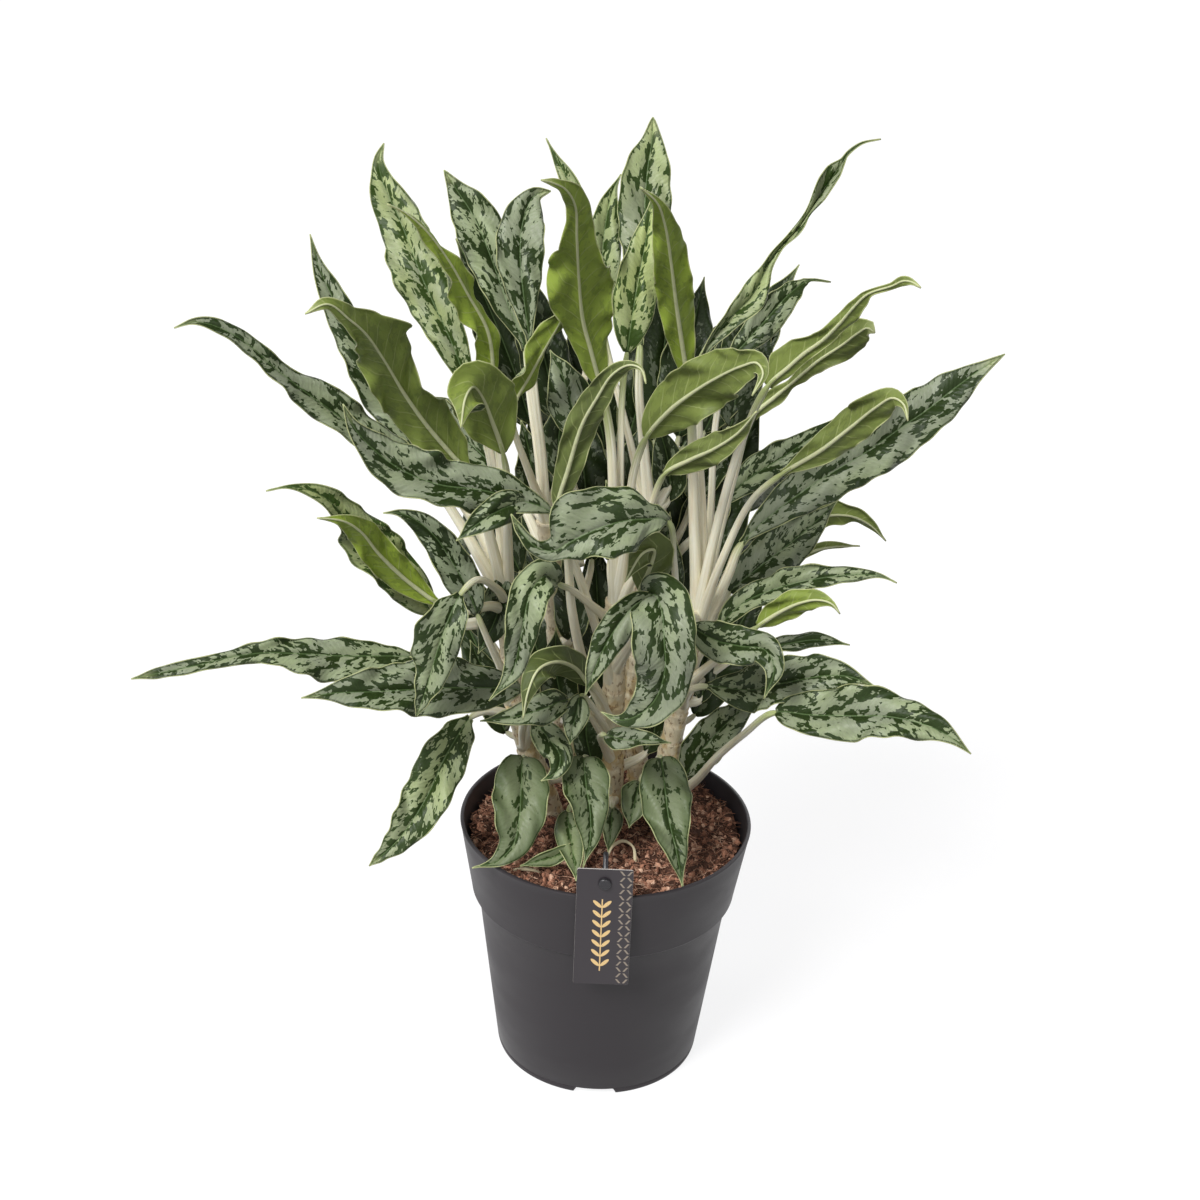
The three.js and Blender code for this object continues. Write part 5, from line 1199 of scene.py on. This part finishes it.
def tag_finish(looks, sizes):
    """Near-black coated card with a gold sprig and a strip of pale dashes on its front."""
    finish = Finish("tag_card", looks)
    x, y, z = finish.place()
    front = y < TAG_LOW.y / MM + PRINT_DEPTH
    zigzag = finish.math("PINGPONG", z, sizes.dash_pitch) - sizes.dash_pitch / 2
    columns = sum(
        finish.ease(abs(x - (TAG_HIGH.x / MM - offset) - zigzag * lean), 0.55, 0.85, 1, 0)
        for offset, lean in DASH_COLUMNS)
    dashes = columns * (abs(zigzag) < sizes.dash_pitch * DASH_PART) * front

    foot, low, high = (TAG_LOW.z / MM + rise for rise in SPRIG_RISES)
    away = abs(x - ((TAG_LOW.x + TAG_HIGH.x) / 2 / MM - SPRIG_LEFT))
    stem = finish.ease(away, 0.3, 0.55, 1, 0) * (z > foot) * (z < high)
    rise, out = z % sizes.sprig_pitch - sizes.sprig_pitch / 2, away - 3.3
    length, breadth = (out + rise) * math.sqrt(0.5), (rise - out) * math.sqrt(0.5)
    pair = finish.ease((length / 4) ** 2 + (breadth / 1.35) ** 2, 0.85, 1.1, 1, 0) * (z > low) * (z < high)
    sprig = finish.math("MINIMUM", pair + stem, 1) * front

    grain = finish.noise((x, y, z), 3, 0.6, 0.9)
    card = finish.layered("tag", (grain * 0.4, "tag_light"), (dashes, "tag_dash"), (sprig, "tag_gold"))
    return finish.set(Base_Color=card, Roughness=finish.ease(grain, 0.3, 0.7, 0.36, 0.5) - sprig * 0.1,
                      Metallic=sprig * 0.35, Normal=finish.bump(grain + sprig * 0.3, 0.03))


def card_edge_finish(looks):
    """The white core that a cut card shows along its edges."""
    finish = Finish("tag_edge", looks, Roughness=0.8)
    x, y, z = finish.place()
    grain = finish.noise((x, y * 4, z), 3, 0.6, 1.5)
    return finish.set(Base_Color=finish.layered("card_core", (grain, "tag_dash")))


def peg_finish(looks):
    """Dark moulded plastic with a soft gloss."""
    finish = Finish("peg_plastic", looks)
    grain = finish.noise(finish.place(), 3, 0.6, 1.3)
    return finish.set(Base_Color=finish.layered("peg", (grain * 0.5, "pot_light")),
                      Roughness=finish.ease(grain, 0.3, 0.7, 0.26, 0.42), Normal=finish.bump(grain, 0.05))


def floor_finish(looks):
    """A white sweep, lit from within so that only soft shadows show on it."""
    finish = Finish("studio_floor", looks, Roughness=0.9, Emission_Strength=0.92)
    grain = finish.noise(finish.place(), scale=0.02)
    dark, light = ((*(part * share for part in looks.floor), 1) for share in (0.18, 0.19))
    return finish.set(Base_Color=finish.layered(dark, (grain, light)), Emission_Color=finish.colour("floor"))


# ---------- pot, soil, tag and peg ----------

# Folds of more degrees than these show as sharp edges.
POT_CREASE = 32
PEG_CREASE = 40
# The soil's rises in mm.
SOIL_SWELL = 2.2
SOIL_LUMP = 0.9


def pot_profile(sizes):
    """The pot's section as (radius, height) in mm, from the centre of its underside round."""
    base, rim, top = sizes.pot_base / 2 / MM, sizes.pot_rim / 2 / MM, sizes.pot_height / MM
    step = top - COLLAR_HEIGHT

    def body(z):
        return base + (BODY_TOP_RADIUS - base) * z / step

    def collar(z):
        return COLLAR_FOOT_RADIUS + (rim - COLLAR_FOOT_RADIUS) * (z - step) / COLLAR_HEIGHT

    ring = base - FOOT_RING_WIDTH
    return [
        (0, 0), (CENTRE_PAD_RADIUS - 0.6, 0), (CENTRE_PAD_RADIUS, 0.4), (CENTRE_PAD_RADIUS, FLOOR_UNDERSIDE),
        (ring, FLOOR_UNDERSIDE), (ring, 0.5), (ring + 0.6, 0), (base - 1, 0), (base - 0.3, 0.3), (base, 1.2),
        (body(3.2), 3.2), (body(3.9) - 0.5, 4.3), (body(5.2), 5.4), (body(30), 30), (body(60), 60),
        (body(100), 100), (body(step - 1.6), step - 1.6), (body(step) + 0.4, step - 0.3),
        (collar(step + 2) - 1.2, step + 0.8), (collar(step + 3), step + 2.4), (collar(step + 6), step + 6),
        (collar(step + 30), step + 30), (collar(top - 7), top - 7), (collar(top - 2.2), top - 2.2),
        (rim, top - 1.2), (rim - 0.3, top - 0.35), (rim - 1, top), (rim - 2.2, top), (rim - 2.8, top - 0.5),
        (rim - 3.1, top - 1.4), (collar(step + 30) - COLLAR_WALL, step + 30),
        (collar(step + 3) - COLLAR_WALL, step + 3), (body(step) - BODY_WALL, step - 2),
        (body(60) - BODY_WALL, 60), (body(10) - BODY_WALL, 10), (body(7) - BODY_WALL - 1, FLOOR_TOP),
        (0, FLOOR_TOP),
    ]


def build_pot_mesh(sizes):
    """The pot turned from its section, with notches in its foot ring and drain holes cut."""
    base, turn = sizes.pot_base / 2 / MM, turns(sizes.pot_sides)
    share = 2 * math.pi / FOOT_NOTCHES
    away = np.abs((turn + math.pi / 2 + share / 2) % share - share / 2) * base
    notch = FOOT_NOTCH_HEIGHT * (1 - smooth(away, FOOT_NOTCH_HALF, FOOT_NOTCH_HALF + 1.5))
    rings = []
    for radius, z in pot_profile(sizes)[1:-1]:
        in_foot_ring = radius > base - FOOT_RING_WIDTH - 1 and z < FLOOR_UNDERSIDE
        rings.append(circle(radius, np.maximum(z, notch) if in_foot_ring else z, turn))
    shell = Shell()
    shell.wrap(rings, ((0, 0, 0), (0, 0, FLOOR_TOP)))
    return drained(shell.mesh("pot_turned"))


def drained(mesh):
    """The pot's mesh with the drain holes cut through its floor."""
    drill = Shell()
    for hole in range(DRAIN_HOLES):
        angle = 2 * math.pi * (hole + 0.5) / DRAIN_HOLES
        middle = DRAIN_RING_RADIUS * np.array((math.cos(angle), math.sin(angle), 0))
        ends = [middle + (0, 0, z) for z in (FLOOR_UNDERSIDE - 3, FLOOR_TOP + 2.5)]
        drill.wrap([end + circle(DRAIN_HOLE_RADIUS, 0, turns(24)) for end in ends], ends)
    pot, cutter = linked("pot_turned", mesh), linked("drain_drill", drill.mesh("drain_drill"))
    cut = pot.modifiers.new("drains", "BOOLEAN")
    cut.operation, cut.solver, cut.object = "DIFFERENCE", "EXACT", cutter
    cleared = settled(pot)
    bpy.data.objects.remove(cutter)
    cleared.shade_smooth()
    cleared.set_sharp_from_angle(angle=math.radians(POT_CREASE))
    return cleared


def soil_height(x, y):
    """The soil's uneven top, in mm, with swells as in its solid and lumps of its own."""
    swell = np.sin(x * 0.12) * np.cos(y * 0.12) + np.sin((x - y) * 0.3) / 2
    lumps = np.sin(x * 0.41 + 1.3) * np.sin(y * 0.37 + 0.4) + 0.6 * np.sin(x * 0.9 + y * 0.7)
    return SOIL_TOP + SOIL_SWELL * swell + SOIL_LUMP * lumps


def soil_rings(edge, count, around):
    """Rings over the soil's top, from an edge of this radius in mm to near its centre."""
    rings = [circle(edge * (1 - ring / count), 0, turns(around)) for ring in range(count)]
    for ring in rings:
        ring[:, 2] = soil_height(ring[:, 0], ring[:, 1])
    return rings


def soil_surface():
    """The open top of the soil, for scattering."""
    shell = Shell()
    shell.wrap(soil_rings(SOIL_OPEN_RADIUS, count=14, around=60))
    return shell.mesh("soil_surface")


def build_soil_mesh():
    """The bed of soil: an uneven top, and sides that follow the pot down to its floor."""
    around = 120
    top = soil_rings(SOIL_RADIUS, count=40, around=around)
    top[0][:, 2] -= SOIL_EDGE_DROP
    shell = Shell()
    shell.wrap([circle(radius, z, turns(around)) for radius, z in SOIL_SIDES] + top,
               ((0, 0, SOIL_SIDES[0][1]), (0, 0, soil_height(0, 0))), tone=0.25)
    return shell.mesh("soil_bed")


class Scatter(Sheet):
    """A Geometry Nodes tree that scatters small shapes over the faces of a mesh."""

    def __init__(self, name, **inputs):
        super().__init__(bpy.data.node_groups.new(name, "GeometryNodeTree"))
        self.parts = []
        self.add_socket("Surface", "Geometry")
        self.identifiers = {key: self.add_socket(key, kind) for key, kind in inputs.items()}
        self.add_socket("Geometry", "Geometry", "OUTPUT")
        self.given = self.node("NodeGroupInput").outputs
        self.seed = Value(self, self.given["Seed"])

    def add_socket(self, name, kind, way="INPUT"):
        made = self.tree.interface.new_socket(name=name, in_out=way, socket_type="NodeSocket" + kind)
        return made.identifier

    def spread(self, low, high, seed):
        """A random vector between two for each point."""
        return self.node("FunctionNodeRandomValue", {"data_type": "FLOAT_VECTOR"}, {
            0: low, 1: high, 8: seed}).outputs[0]

    def strew(self, shape, density, seed, turns_between, sizes_between):
        """Adds copies of a shape on the surface, each turned, sized and toned at random."""
        points = self.node("GeometryNodeDistributePointsOnFaces", {"distribute_method": "RANDOM"}, {
            "Mesh": self.given["Surface"], "Density": self.given[density], "Seed": seed}).outputs["Points"]
        tone = self.node("FunctionNodeRandomValue", {"data_type": "FLOAT"}, {
            2: 0.0, 3: 1.0, 8: seed + 1}).outputs[1]
        toned = self.node("GeometryNodeStoreNamedAttribute", {"data_type": "FLOAT", "domain": "POINT"}, {
            "Geometry": points, "Name": "tone", "Value": tone}).outputs[0]
        self.parts.append(self.node("GeometryNodeInstanceOnPoints", {}, {
            "Points": toned, "Instance": shape, "Rotation": self.spread(*turns_between, seed + 2),
            "Scale": self.spread(*sizes_between, seed + 3)}).outputs[0])

    def grown(self, material, **given):
        """All that is strewn, run on the soil with these inputs, as a plain mesh."""
        joined = self.node("GeometryNodeJoinGeometry")
        for part in self.parts:
            self.feed(joined.inputs[0], part)
        real = self.node("GeometryNodeRealizeInstances", {}, {0: joined.outputs[0]}).outputs[0]
        painted = self.node("GeometryNodeSetMaterial", {}, {"Geometry": real, "Material": material}).outputs[0]
        self.node("NodeGroupOutput", {}, {0: painted})
        bed = linked("scatter_bed", soil_surface())
        modifier = bed.modifiers.new("scatter", "NODES")
        modifier.node_group = self.tree
        for key, value in given.items():
            modifier[self.identifiers[key]] = value
        return settled(bed)


# Kinds of crumbs: their density's name, seed, fineness, and smallest and largest size in mm.
CRUMB_KINDS = (
    ("Lumps", 11, 2, ((1.2, 1.0, 0.9), (3.9, 2.7, 2.2))),
    ("Crumbs", 23, 1, ((0.6, 0.5, 0.5), (1.7, 1.3, 1.2))),
    ("Chips", 37, 2, ((2.2, 1.0, 0.6), (6.0, 3.0, 1.5))),
)
ANY_TURN = ((0, 0, 0), (6.3, 6.3, 6.3))
FLAT_TURN = ((-0.35, -0.35, 0), (0.35, 0.35, 6.3))


def crumb_scatter():
    """Crumbs and chips: rough lumps of a few dozen faces."""
    scatter = Scatter("soil_crumbs", Lumps="Float", Crumbs="Float", Chips="Float", Seed="Int")
    for density, seed, fineness, sizes_between in CRUMB_KINDS:
        ball = scatter.node("GeometryNodeMeshIcoSphere", {}, {
            "Radius": MM, "Subdivisions": fineness}).outputs[0]
        wobble = scatter.node("ShaderNodeTexNoise", {}, {
            "Vector": scatter.node("GeometryNodeInputPosition").outputs[0], "Scale": 900 + seed, "Detail": 1})
        centred = scatter.node("ShaderNodeVectorMath", {"operation": "SUBTRACT"}, {
            0: wobble.outputs["Color"], 1: (0.5, 0.5, 0.5)}).outputs[0]
        shift = scatter.node("ShaderNodeVectorMath", {"operation": "SCALE"}, {
            0: centred, "Scale": 1.3 * MM}).outputs[0]
        lump = scatter.node("GeometryNodeSetPosition", {}, {"Geometry": ball, "Offset": shift}).outputs[0]
        scatter.strew(lump, density, scatter.seed + seed, ANY_TURN, sizes_between)
    return scatter


def fibre_scatter():
    """Coir fibres: thin bent threads a centimetre long."""
    scatter = Scatter("soil_fibres", Density="Float", Thickness="Float", Seed="Int")
    for seed, bend in ((5, (0.002, 0.0035, 0.0018)), (17, (0.0025, -0.003, 0.001))):
        thread = scatter.node("GeometryNodeCurveQuadraticBezier", {}, {
            "Resolution": 6, "Start": (-0.005, 0, 0), "Middle": bend, "End": (0.005, 0.001, 0.0006)}).outputs[0]
        section = scatter.node("GeometryNodeCurvePrimitiveCircle", {}, {
            "Resolution": 3, "Radius": scatter.given["Thickness"]}).outputs[0]
        fibre = scatter.node("GeometryNodeCurveToMesh", {}, {
            "Curve": thread, "Profile Curve": section, "Fill Caps": True}).outputs[0]
        lifted = scatter.node("GeometryNodeTransform", {}, {
            "Geometry": fibre, "Translation": (0, 0, 0.0012)}).outputs[0]
        scatter.strew(lifted, "Density", scatter.seed + seed, FLAT_TURN, ((0.4, 0.5, 0.5), (1.3, 1.3, 1.3)))
    return scatter


def build_roots_mesh():
    """Bare roots, about 2 mm thick, that come out of the soil and go back in."""
    shell = Shell()
    for way in ROOTS:
        line = Line([np.array((x, y, SOIL_TOP + ROOT_HEIGHT + rise)) for x, y, rise in way])
        shell.tube(line, lambda run: 1.1 - 0.2 * np.sin(run / 3), around=10, step=1.5, up=(0, 0, 1))
    return shell.mesh("soil_roots")


def build_tag_mesh():
    """The card, with round corners, a hole and softly broken edges."""
    middle, half = (TAG_LOW + TAG_HIGH) / 2, (TAG_HIGH - TAG_LOW) / 2
    corner, hole, bevel = TAG_CORNER * MM, TAG_HOLE_RADIUS * MM, TAG_EDGE_BEVEL * MM
    corners = [
        (side * (half.x - corner) + corner * math.cos(angle),
         end * (half.z - corner) + corner * math.sin(angle))
        for side, end, start in ((1, 1, 0), (-1, 1, 90), (-1, -1, 180), (1, -1, 270))
        for angle in np.radians(start + 15 * np.arange(7))
    ]
    rise = TAG_HOLE_HEIGHT * MM - middle.z
    rim = [(hole * math.cos(angle), rise + hole * math.sin(angle)) for angle in turns(32)]
    card = bpy.data.curves.new("card", "CURVE")
    card.dimensions, card.fill_mode = "2D", "BOTH"
    card.extrude, card.bevel_depth, card.offset = half.y - bevel, bevel, -bevel
    for points in (corners, rim):
        spline = card.splines.new("POLY")
        spline.points.add(len(points) - 1)
        spline.points.foreach_set("co", [part for x, z in points for part in (x, z, 0, 1)])
        spline.use_cyclic_u = True
    mesh = settled(linked("card", card))
    mesh.transform(Matrix.Translation(middle) @ Matrix.Rotation(math.radians(90), 4, "X"))
    mended(mesh)
    mesh.polygons.foreach_set("material_index", [int(abs(face.normal.y) <= 0.9) for face in mesh.polygons])
    return mesh


def build_peg_mesh():
    """The peg: a button in front of the tag, and a shaft that arches over the rim into the soil."""
    front, x = TAG_LOW.y / MM - PEG_FRONT_GAP, (TAG_LOW.x + TAG_HIGH.x) / 2 / MM
    line = Line([np.array((x, front + back, z)) for back, z in PEG_WAY])
    shell = Shell()
    shell.tube(line, lambda run: 2 - 0.6 * run / line.length, around=18, step=1.2, up=(1, 0, 0))
    middle, turn = np.array((x, front, TAG_HOLE_HEIGHT)), turns(40)
    rings = [middle + np.stack((radius * np.cos(turn), np.full(40, back), -radius * np.sin(turn)), axis=1)
             for radius, back in BUTTON_SECTION]
    shell.wrap(rings, [middle + (0, back, 0) for back in BUTTON_ENDS])
    return mended(shell.mesh("peg", PEG_CREASE))


# ---------- properties ----------


def size(name, description, default, **limits):
    return FloatProperty(name=name, description=description, default=default, **limits)


def tint(name, description, default):
    return FloatVectorProperty(name=name, description=description, subtype="COLOR", size=3, min=0, max=1,
                               default=default)


class EvergreenSizes(bpy.types.PropertyGroup):
    """Sizes of the pot and of the plant's fine form."""

    pot_rim: size("Rim diameter", "Diameter of the pot's rim", POT_HIGH.x - POT_LOW.x, unit="LENGTH")
    pot_base: size("Base diameter", "Diameter of the pot's foot", 0.15, unit="LENGTH")
    pot_height: size("Pot height", "Height of the pot", POT_HIGH.z, unit="LENGTH")
    pot_sides: IntProperty(name="Pot sides", description="Faces round the pot", default=180, min=24)
    blade_step: size("Blade step", "Length of a blade's faces, in mm", 2.4, min=1)
    blade_thickness: size("Blade thickness", "Thickness of a blade, in mm", 0.55, min=0.3)
    ripple: size("Margin wave", "Height of the margin's long waves, in mm", 5.8)
    frill: size("Margin frill", "Height of the margin's short waves, in mm", 2.5)
    vein_relief: size("Vein relief", "Height of the side veins' folds, in mm", 0.4)
    swell: size("Swell", "Height of the swells of each half blade, in mm", 1.7)
    vein_spacing: size("Vein spacing", "Distance between side veins, in mm", 7.5, min=1)
    vein_slant: size("Vein slant", "How far side veins lean to the tip", 1.1)
    ring_spacing: size("Ring spacing", "Distance between a cane's scars, in mm", 14, min=2)
    lump_density: size("Lump density", "Soil lumps per square metre", 50000, min=0)
    crumb_density: size("Crumb density", "Soil crumbs per square metre", 94000, min=0)
    chip_density: size("Chip density", "Bark chips per square metre", 7000, min=0)
    fibre_density: size("Fibre density", "Coir fibres per square metre", 60000, min=0)
    fibre_radius: size("Fibre radius", "Radius of a coir fibre", 0.00022, unit="LENGTH")
    soil_seed: IntProperty(name="Soil seed", description="Seed of the soil's scatter", default=4)
    dash_pitch: size("Dash pitch", "Height of a dash in the tag's strip, in mm", 4.9)
    sprig_pitch: size("Sprig pitch", "Distance between the tag's leaf pairs, in mm", 8)


class EvergreenLooks(bpy.types.PropertyGroup):
    """Colours of the plant, the soil, the pot and the tag, as linear values."""

    silver_old: tint("Silver", "Pale parts of an old leaf", (0.255, 0.30, 0.185))
    silver_young: tint("Young silver", "Pale parts of a young leaf", (0.42, 0.49, 0.165))
    silver_shaded: tint("Grey silver", "Greyer drifts in the silver", (0.215, 0.235, 0.18))
    silver_low: tint("Low leaf silver", "Silver of the lowest leaves", (0.138, 0.168, 0.088))
    # The dark greens are also mixed over shaded leaves as painted shade.
    green_old: tint("Dark green", "Dark parts of an old leaf", (0.015, 0.027, 0.006))
    green_young: tint("Young dark green", "Dark parts of a young leaf", (0.040, 0.075, 0.011))
    green_light: tint("Light flecks", "Light flecks in the dark green", (0.055, 0.085, 0.026))
    midrib_upper: tint("Midrib above", "The midrib on the upper face", (0.12, 0.19, 0.07))
    tip: tint("Tip", "The pale tip of a leaf", (0.50, 0.54, 0.26))
    margin: tint("Margin", "The cream line round a leaf", (0.48, 0.50, 0.25))
    under_old: tint("Underside", "Underside of an old leaf", (0.128, 0.155, 0.046))
    under_young: tint("Young underside", "Underside of a young leaf", (0.26, 0.35, 0.040))
    # under_dark is the pattern showing through, and is also mixed over shaded undersides as painted shade.
    under_dark: tint("Underside pattern", "The pattern showing through", (0.055, 0.075, 0.020))
    under_light: tint("Underside veins", "Light drifts of the underside", (0.21, 0.26, 0.070))
    vein_under: tint("Side veins", "Side veins of the underside", (0.36, 0.40, 0.16))
    midrib_under: tint("Midrib below", "The raised midrib on the underside", (0.58, 0.60, 0.36))
    stalk_cream: tint("Stalk cream", "Lightest parts of the stalks", (0.90, 0.87, 0.72))
    stalk_shaded: tint("Stalk shade", "Darker streaks of the stalks", (0.74, 0.69, 0.50))
    stalk_blush: tint("Stalk blush", "Tan areas of the stalks", (0.70, 0.58, 0.38))
    stalk_green: tint("Stalk green", "The stalk under the blade", (0.33, 0.38, 0.15))
    cane_beige: tint("Cane beige", "Main tone of the canes", (0.74, 0.64, 0.43))
    cane_tan: tint("Cane tan", "Streaks of the canes", (0.58, 0.45, 0.25))
    cane_amber: tint("Cane amber", "Yellow patches low on the canes", (0.55, 0.38, 0.13))
    cane_brown: tint("Cane brown", "Brown patches low on the canes", (0.20, 0.11, 0.045))
    scar: tint("Scar", "Ring scars", (0.34, 0.21, 0.10))
    soil_dark: tint("Soil dark", "Gaps and wet peat", (0.060, 0.028, 0.018))
    soil_red: tint("Soil red", "Reddish coir", (0.42, 0.20, 0.125))
    soil_tan: tint("Soil tan", "Dry light chips", (0.72, 0.48, 0.34))
    pot: tint("Pot", "The pot's plastic", (0.0180, 0.0145, 0.0172))
    pot_light: tint("Pot bloom", "Lighter clouds on the pot", (0.0265, 0.0225, 0.0255))
    pot_scuff: tint("Pot scuffs", "Rubbed places on the pot", (0.09, 0.085, 0.09))
    tag: tint("Tag", "The tag's coated card", (0.024, 0.019, 0.023))
    tag_light: tint("Tag bloom", "Lighter grain of the card", (0.036, 0.030, 0.034))
    tag_dash: tint("Tag dashes", "The strip of dashes", (0.30, 0.25, 0.20))
    tag_gold: tint("Tag gold", "The printed sprig", (0.80, 0.56, 0.26))
    card_core: tint("Card core", "The card's cut edges", (0.75, 0.73, 0.72))
    peg: tint("Peg", "The peg's plastic", (0.012, 0.012, 0.015))
    floor: tint("Floor", "The studio floor", (0.90, 0.90, 0.905))


# ---------- operators ----------


class EvergreenStep:
    """What the building steps share."""

    bl_options = {"REGISTER", "UNDO"}

    @property
    def sizes(self):
        return bpy.context.scene.evergreen_sizes

    @property
    def looks(self):
        return bpy.context.scene.evergreen_looks


class EVERGREEN_OT_pot(EvergreenStep, bpy.types.Operator):
    """Builds the nursery pot"""

    bl_idname = "evergreen.pot"
    bl_label = "Pot"

    def execute(self, context):
        finished("pot_shell", build_pot_mesh(self.sizes), "pot", "pot", pot_finish(self.looks))
        return {"FINISHED"}


class EVERGREEN_OT_soil(EvergreenStep, bpy.types.Operator):
    """Builds the bed of soil with its crumbs, chips and fibres"""

    bl_idname = "evergreen.soil"
    bl_label = "Soil"

    def execute(self, context):
        sizes, looks = self.sizes, self.looks
        finished("soil_bed", build_soil_mesh(), "soil", "soil", soil_finish(looks, "soil_bed", -0.25))
        loose = soil_finish(looks, "soil_loose", 0)
        crumbs = crumb_scatter().grown(loose, Lumps=sizes.lump_density, Crumbs=sizes.crumb_density,
                                       Chips=sizes.chip_density, Seed=sizes.soil_seed)
        finished("soil_crumbs", crumbs, "soil", "soil")
        fibres = fibre_scatter().grown(loose, Density=sizes.fibre_density, Thickness=sizes.fibre_radius,
                                       Seed=sizes.soil_seed + 90)
        finished("soil_fibres", fibres, "soil", "soil")
        finished("soil_roots", build_roots_mesh(), "cane", "soil", root_finish(looks))
        return {"FINISHED"}


class EVERGREEN_OT_tag(EvergreenStep, bpy.types.Operator):
    """Builds the tag and the peg it hangs on"""

    bl_idname = "evergreen.tag"
    bl_label = "Tag and peg"

    def execute(self, context):
        looks = self.looks
        finished("tag_printed", build_tag_mesh(), "tag", "tag_card",
                 tag_finish(looks, self.sizes), card_edge_finish(looks))
        finished("tag_peg_moulded", build_peg_mesh(), "peg", "tag_peg", peg_finish(looks))
        return {"FINISHED"}


class EVERGREEN_OT_stems(EvergreenStep, bpy.types.Operator):
    """Builds the canes with their leaf stalks"""

    bl_idname = "evergreen.stems"
    bl_label = "Canes and stalks"

    def execute(self, context):
        leaves = planned_leaves()
        cane, stalk = cane_finish(self.looks, self.sizes), stalk_finish(self.looks)
        for name in CANES:
            shell = Shell()
            add_stem(shell, name, leaves, self.sizes)
            finished(name + "_canes", shell.mesh(name), "cane", name, cane, stalk)
        return {"FINISHED"}


class EVERGREEN_OT_leaves(EvergreenStep, bpy.types.Operator):
    """Builds the leaf blades"""

    bl_idname = "evergreen.leaves"
    bl_label = "Leaves"

    def execute(self, context):
        leaves = planned_leaves()
        upper, under = upper_leaf_finish(self.looks), under_leaf_finish(self.looks)
        bodies = {leaf.name: leaf.stem if leaf.joined is True else leaf.joined or leaf.name for leaf in leaves}
        groups = {}
        for leaf in leaves:
            body = bodies[leaf.name]
            groups.setdefault(bodies.get(body, body), []).append(leaf)
        for node, members in groups.items():
            shell = Shell()
            for leaf in members:
                add_blade(shell, leaf, self.sizes)
            finished(node + "_blades", shell.mesh(node), "leaf", node, upper, under)
        return {"FINISHED"}


class EVERGREEN_OT_stage(EvergreenStep, bpy.types.Operator):
    """Sets out the pale floor, the studio lights and the camera"""

    bl_idname = "evergreen.stage"
    bl_label = "Stage"

    def execute(self, context):
        scene = bpy.context.scene
        scene.view_settings.view_transform = "Standard"
        around = 60
        shell = Shell()
        shell.wrap([circle(radius, z, turns(around)) for radius, z in SWEEP])
        shell.add([], [range(-around, 0)])  # the middle, over the points of the last ring
        mesh = shell.mesh("studio_floor")
        mesh.materials.append(floor_finish(self.looks))
        floor = linked("studio_floor", mesh)
        floor.visible_diffuse = floor.visible_shadow = False
        scene.world = bpy.data.worlds.new("studio")
        scene.world.use_nodes = True
        sky, strength = scene.world.node_tree.nodes["Background"].inputs[:2]
        sky.default_value, strength.default_value = (1, 1, 1, 1), WORLD_LIGHT
        sun = bpy.data.lights.new("sun", "SUN")
        sun.energy, sun.angle = SUN_LIGHT, math.radians(SUN_SPREAD)
        self.aim("sun", sun, SUN_PLACE)
        for name, place, width, power in SOFTBOXES:
            lamp = bpy.data.lights.new(name, "AREA")
            lamp.shape, lamp.size, lamp.energy = "DISK", width, power
            self.aim(name, lamp, place)
        self.camera(scene)
        return {"FINISHED"}

    def aim(self, name, lamp, place):
        """Hangs a lamp at a place, facing the middle of the plant."""
        made = linked(name, lamp)
        made.location = place
        made.rotation_euler = (Vector(PLANT_MIDDLE) - Vector(place)).to_track_quat("-Z", "Y").to_euler()

    def camera(self, scene):
        """The camera at the front view's eye."""
        lens = bpy.data.cameras.new("camera")
        lens.sensor_width = SENSOR
        lens.lens = VIEW_FOCAL / VIEW_SIZE * SENSOR
        lens.clip_start, lens.clip_end = 0.01, 100
        back = Vector((0, -math.cos(VIEW_PITCH), math.sin(VIEW_PITCH)))
        level, up = Vector((1, 0, 0)), Vector((0, math.sin(VIEW_PITCH), math.cos(VIEW_PITCH)))
        right = math.cos(VIEW_ROLL) * level + math.sin(VIEW_ROLL) * up
        top = math.cos(VIEW_ROLL) * up - math.sin(VIEW_ROLL) * level
        turned = Matrix((right, top, back)).transposed().to_4x4()
        scene.camera = linked("camera", lens)
        scene.camera.matrix_world = Matrix.Translation(Vector(EYE * MM)) @ turned


STEPS = (EVERGREEN_OT_pot, EVERGREEN_OT_soil, EVERGREEN_OT_tag, EVERGREEN_OT_stems, EVERGREEN_OT_leaves,
         EVERGREEN_OT_stage)


class EVERGREEN_PT_panel(bpy.types.Panel):
    """Lists the sizes, the colours and the building steps"""

    bl_idname = "EVERGREEN_PT_panel"
    bl_label = "Potted Chinese Evergreen"
    bl_space_type = "VIEW_3D"
    bl_region_type = "UI"
    bl_category = "Evergreen"

    def draw(self, context):
        for group in (context.scene.evergreen_sizes, context.scene.evergreen_looks):
            box = self.layout.box()
            for name in group.__annotations__:
                box.prop(group, name)
        for step in STEPS:
            self.layout.operator(step.bl_idname)


CLASSES = (EvergreenSizes, EvergreenLooks, *STEPS, EVERGREEN_PT_panel)


def register():
    for made in CLASSES:
        bpy.utils.register_class(made)
    bpy.types.Scene.evergreen_sizes = PointerProperty(type=EvergreenSizes)
    bpy.types.Scene.evergreen_looks = PointerProperty(type=EvergreenLooks)


def unregister():
    del bpy.types.Scene.evergreen_looks
    del bpy.types.Scene.evergreen_sizes
    for made in reversed(CLASSES):
        bpy.utils.unregister_class(made)


def main():
    register()
    bpy.ops.evergreen.pot()
    bpy.ops.evergreen.soil()
    bpy.ops.evergreen.tag()
    bpy.ops.evergreen.stems()
    bpy.ops.evergreen.leaves()
    bpy.ops.evergreen.stage()


if __name__ == "__main__":
    main()
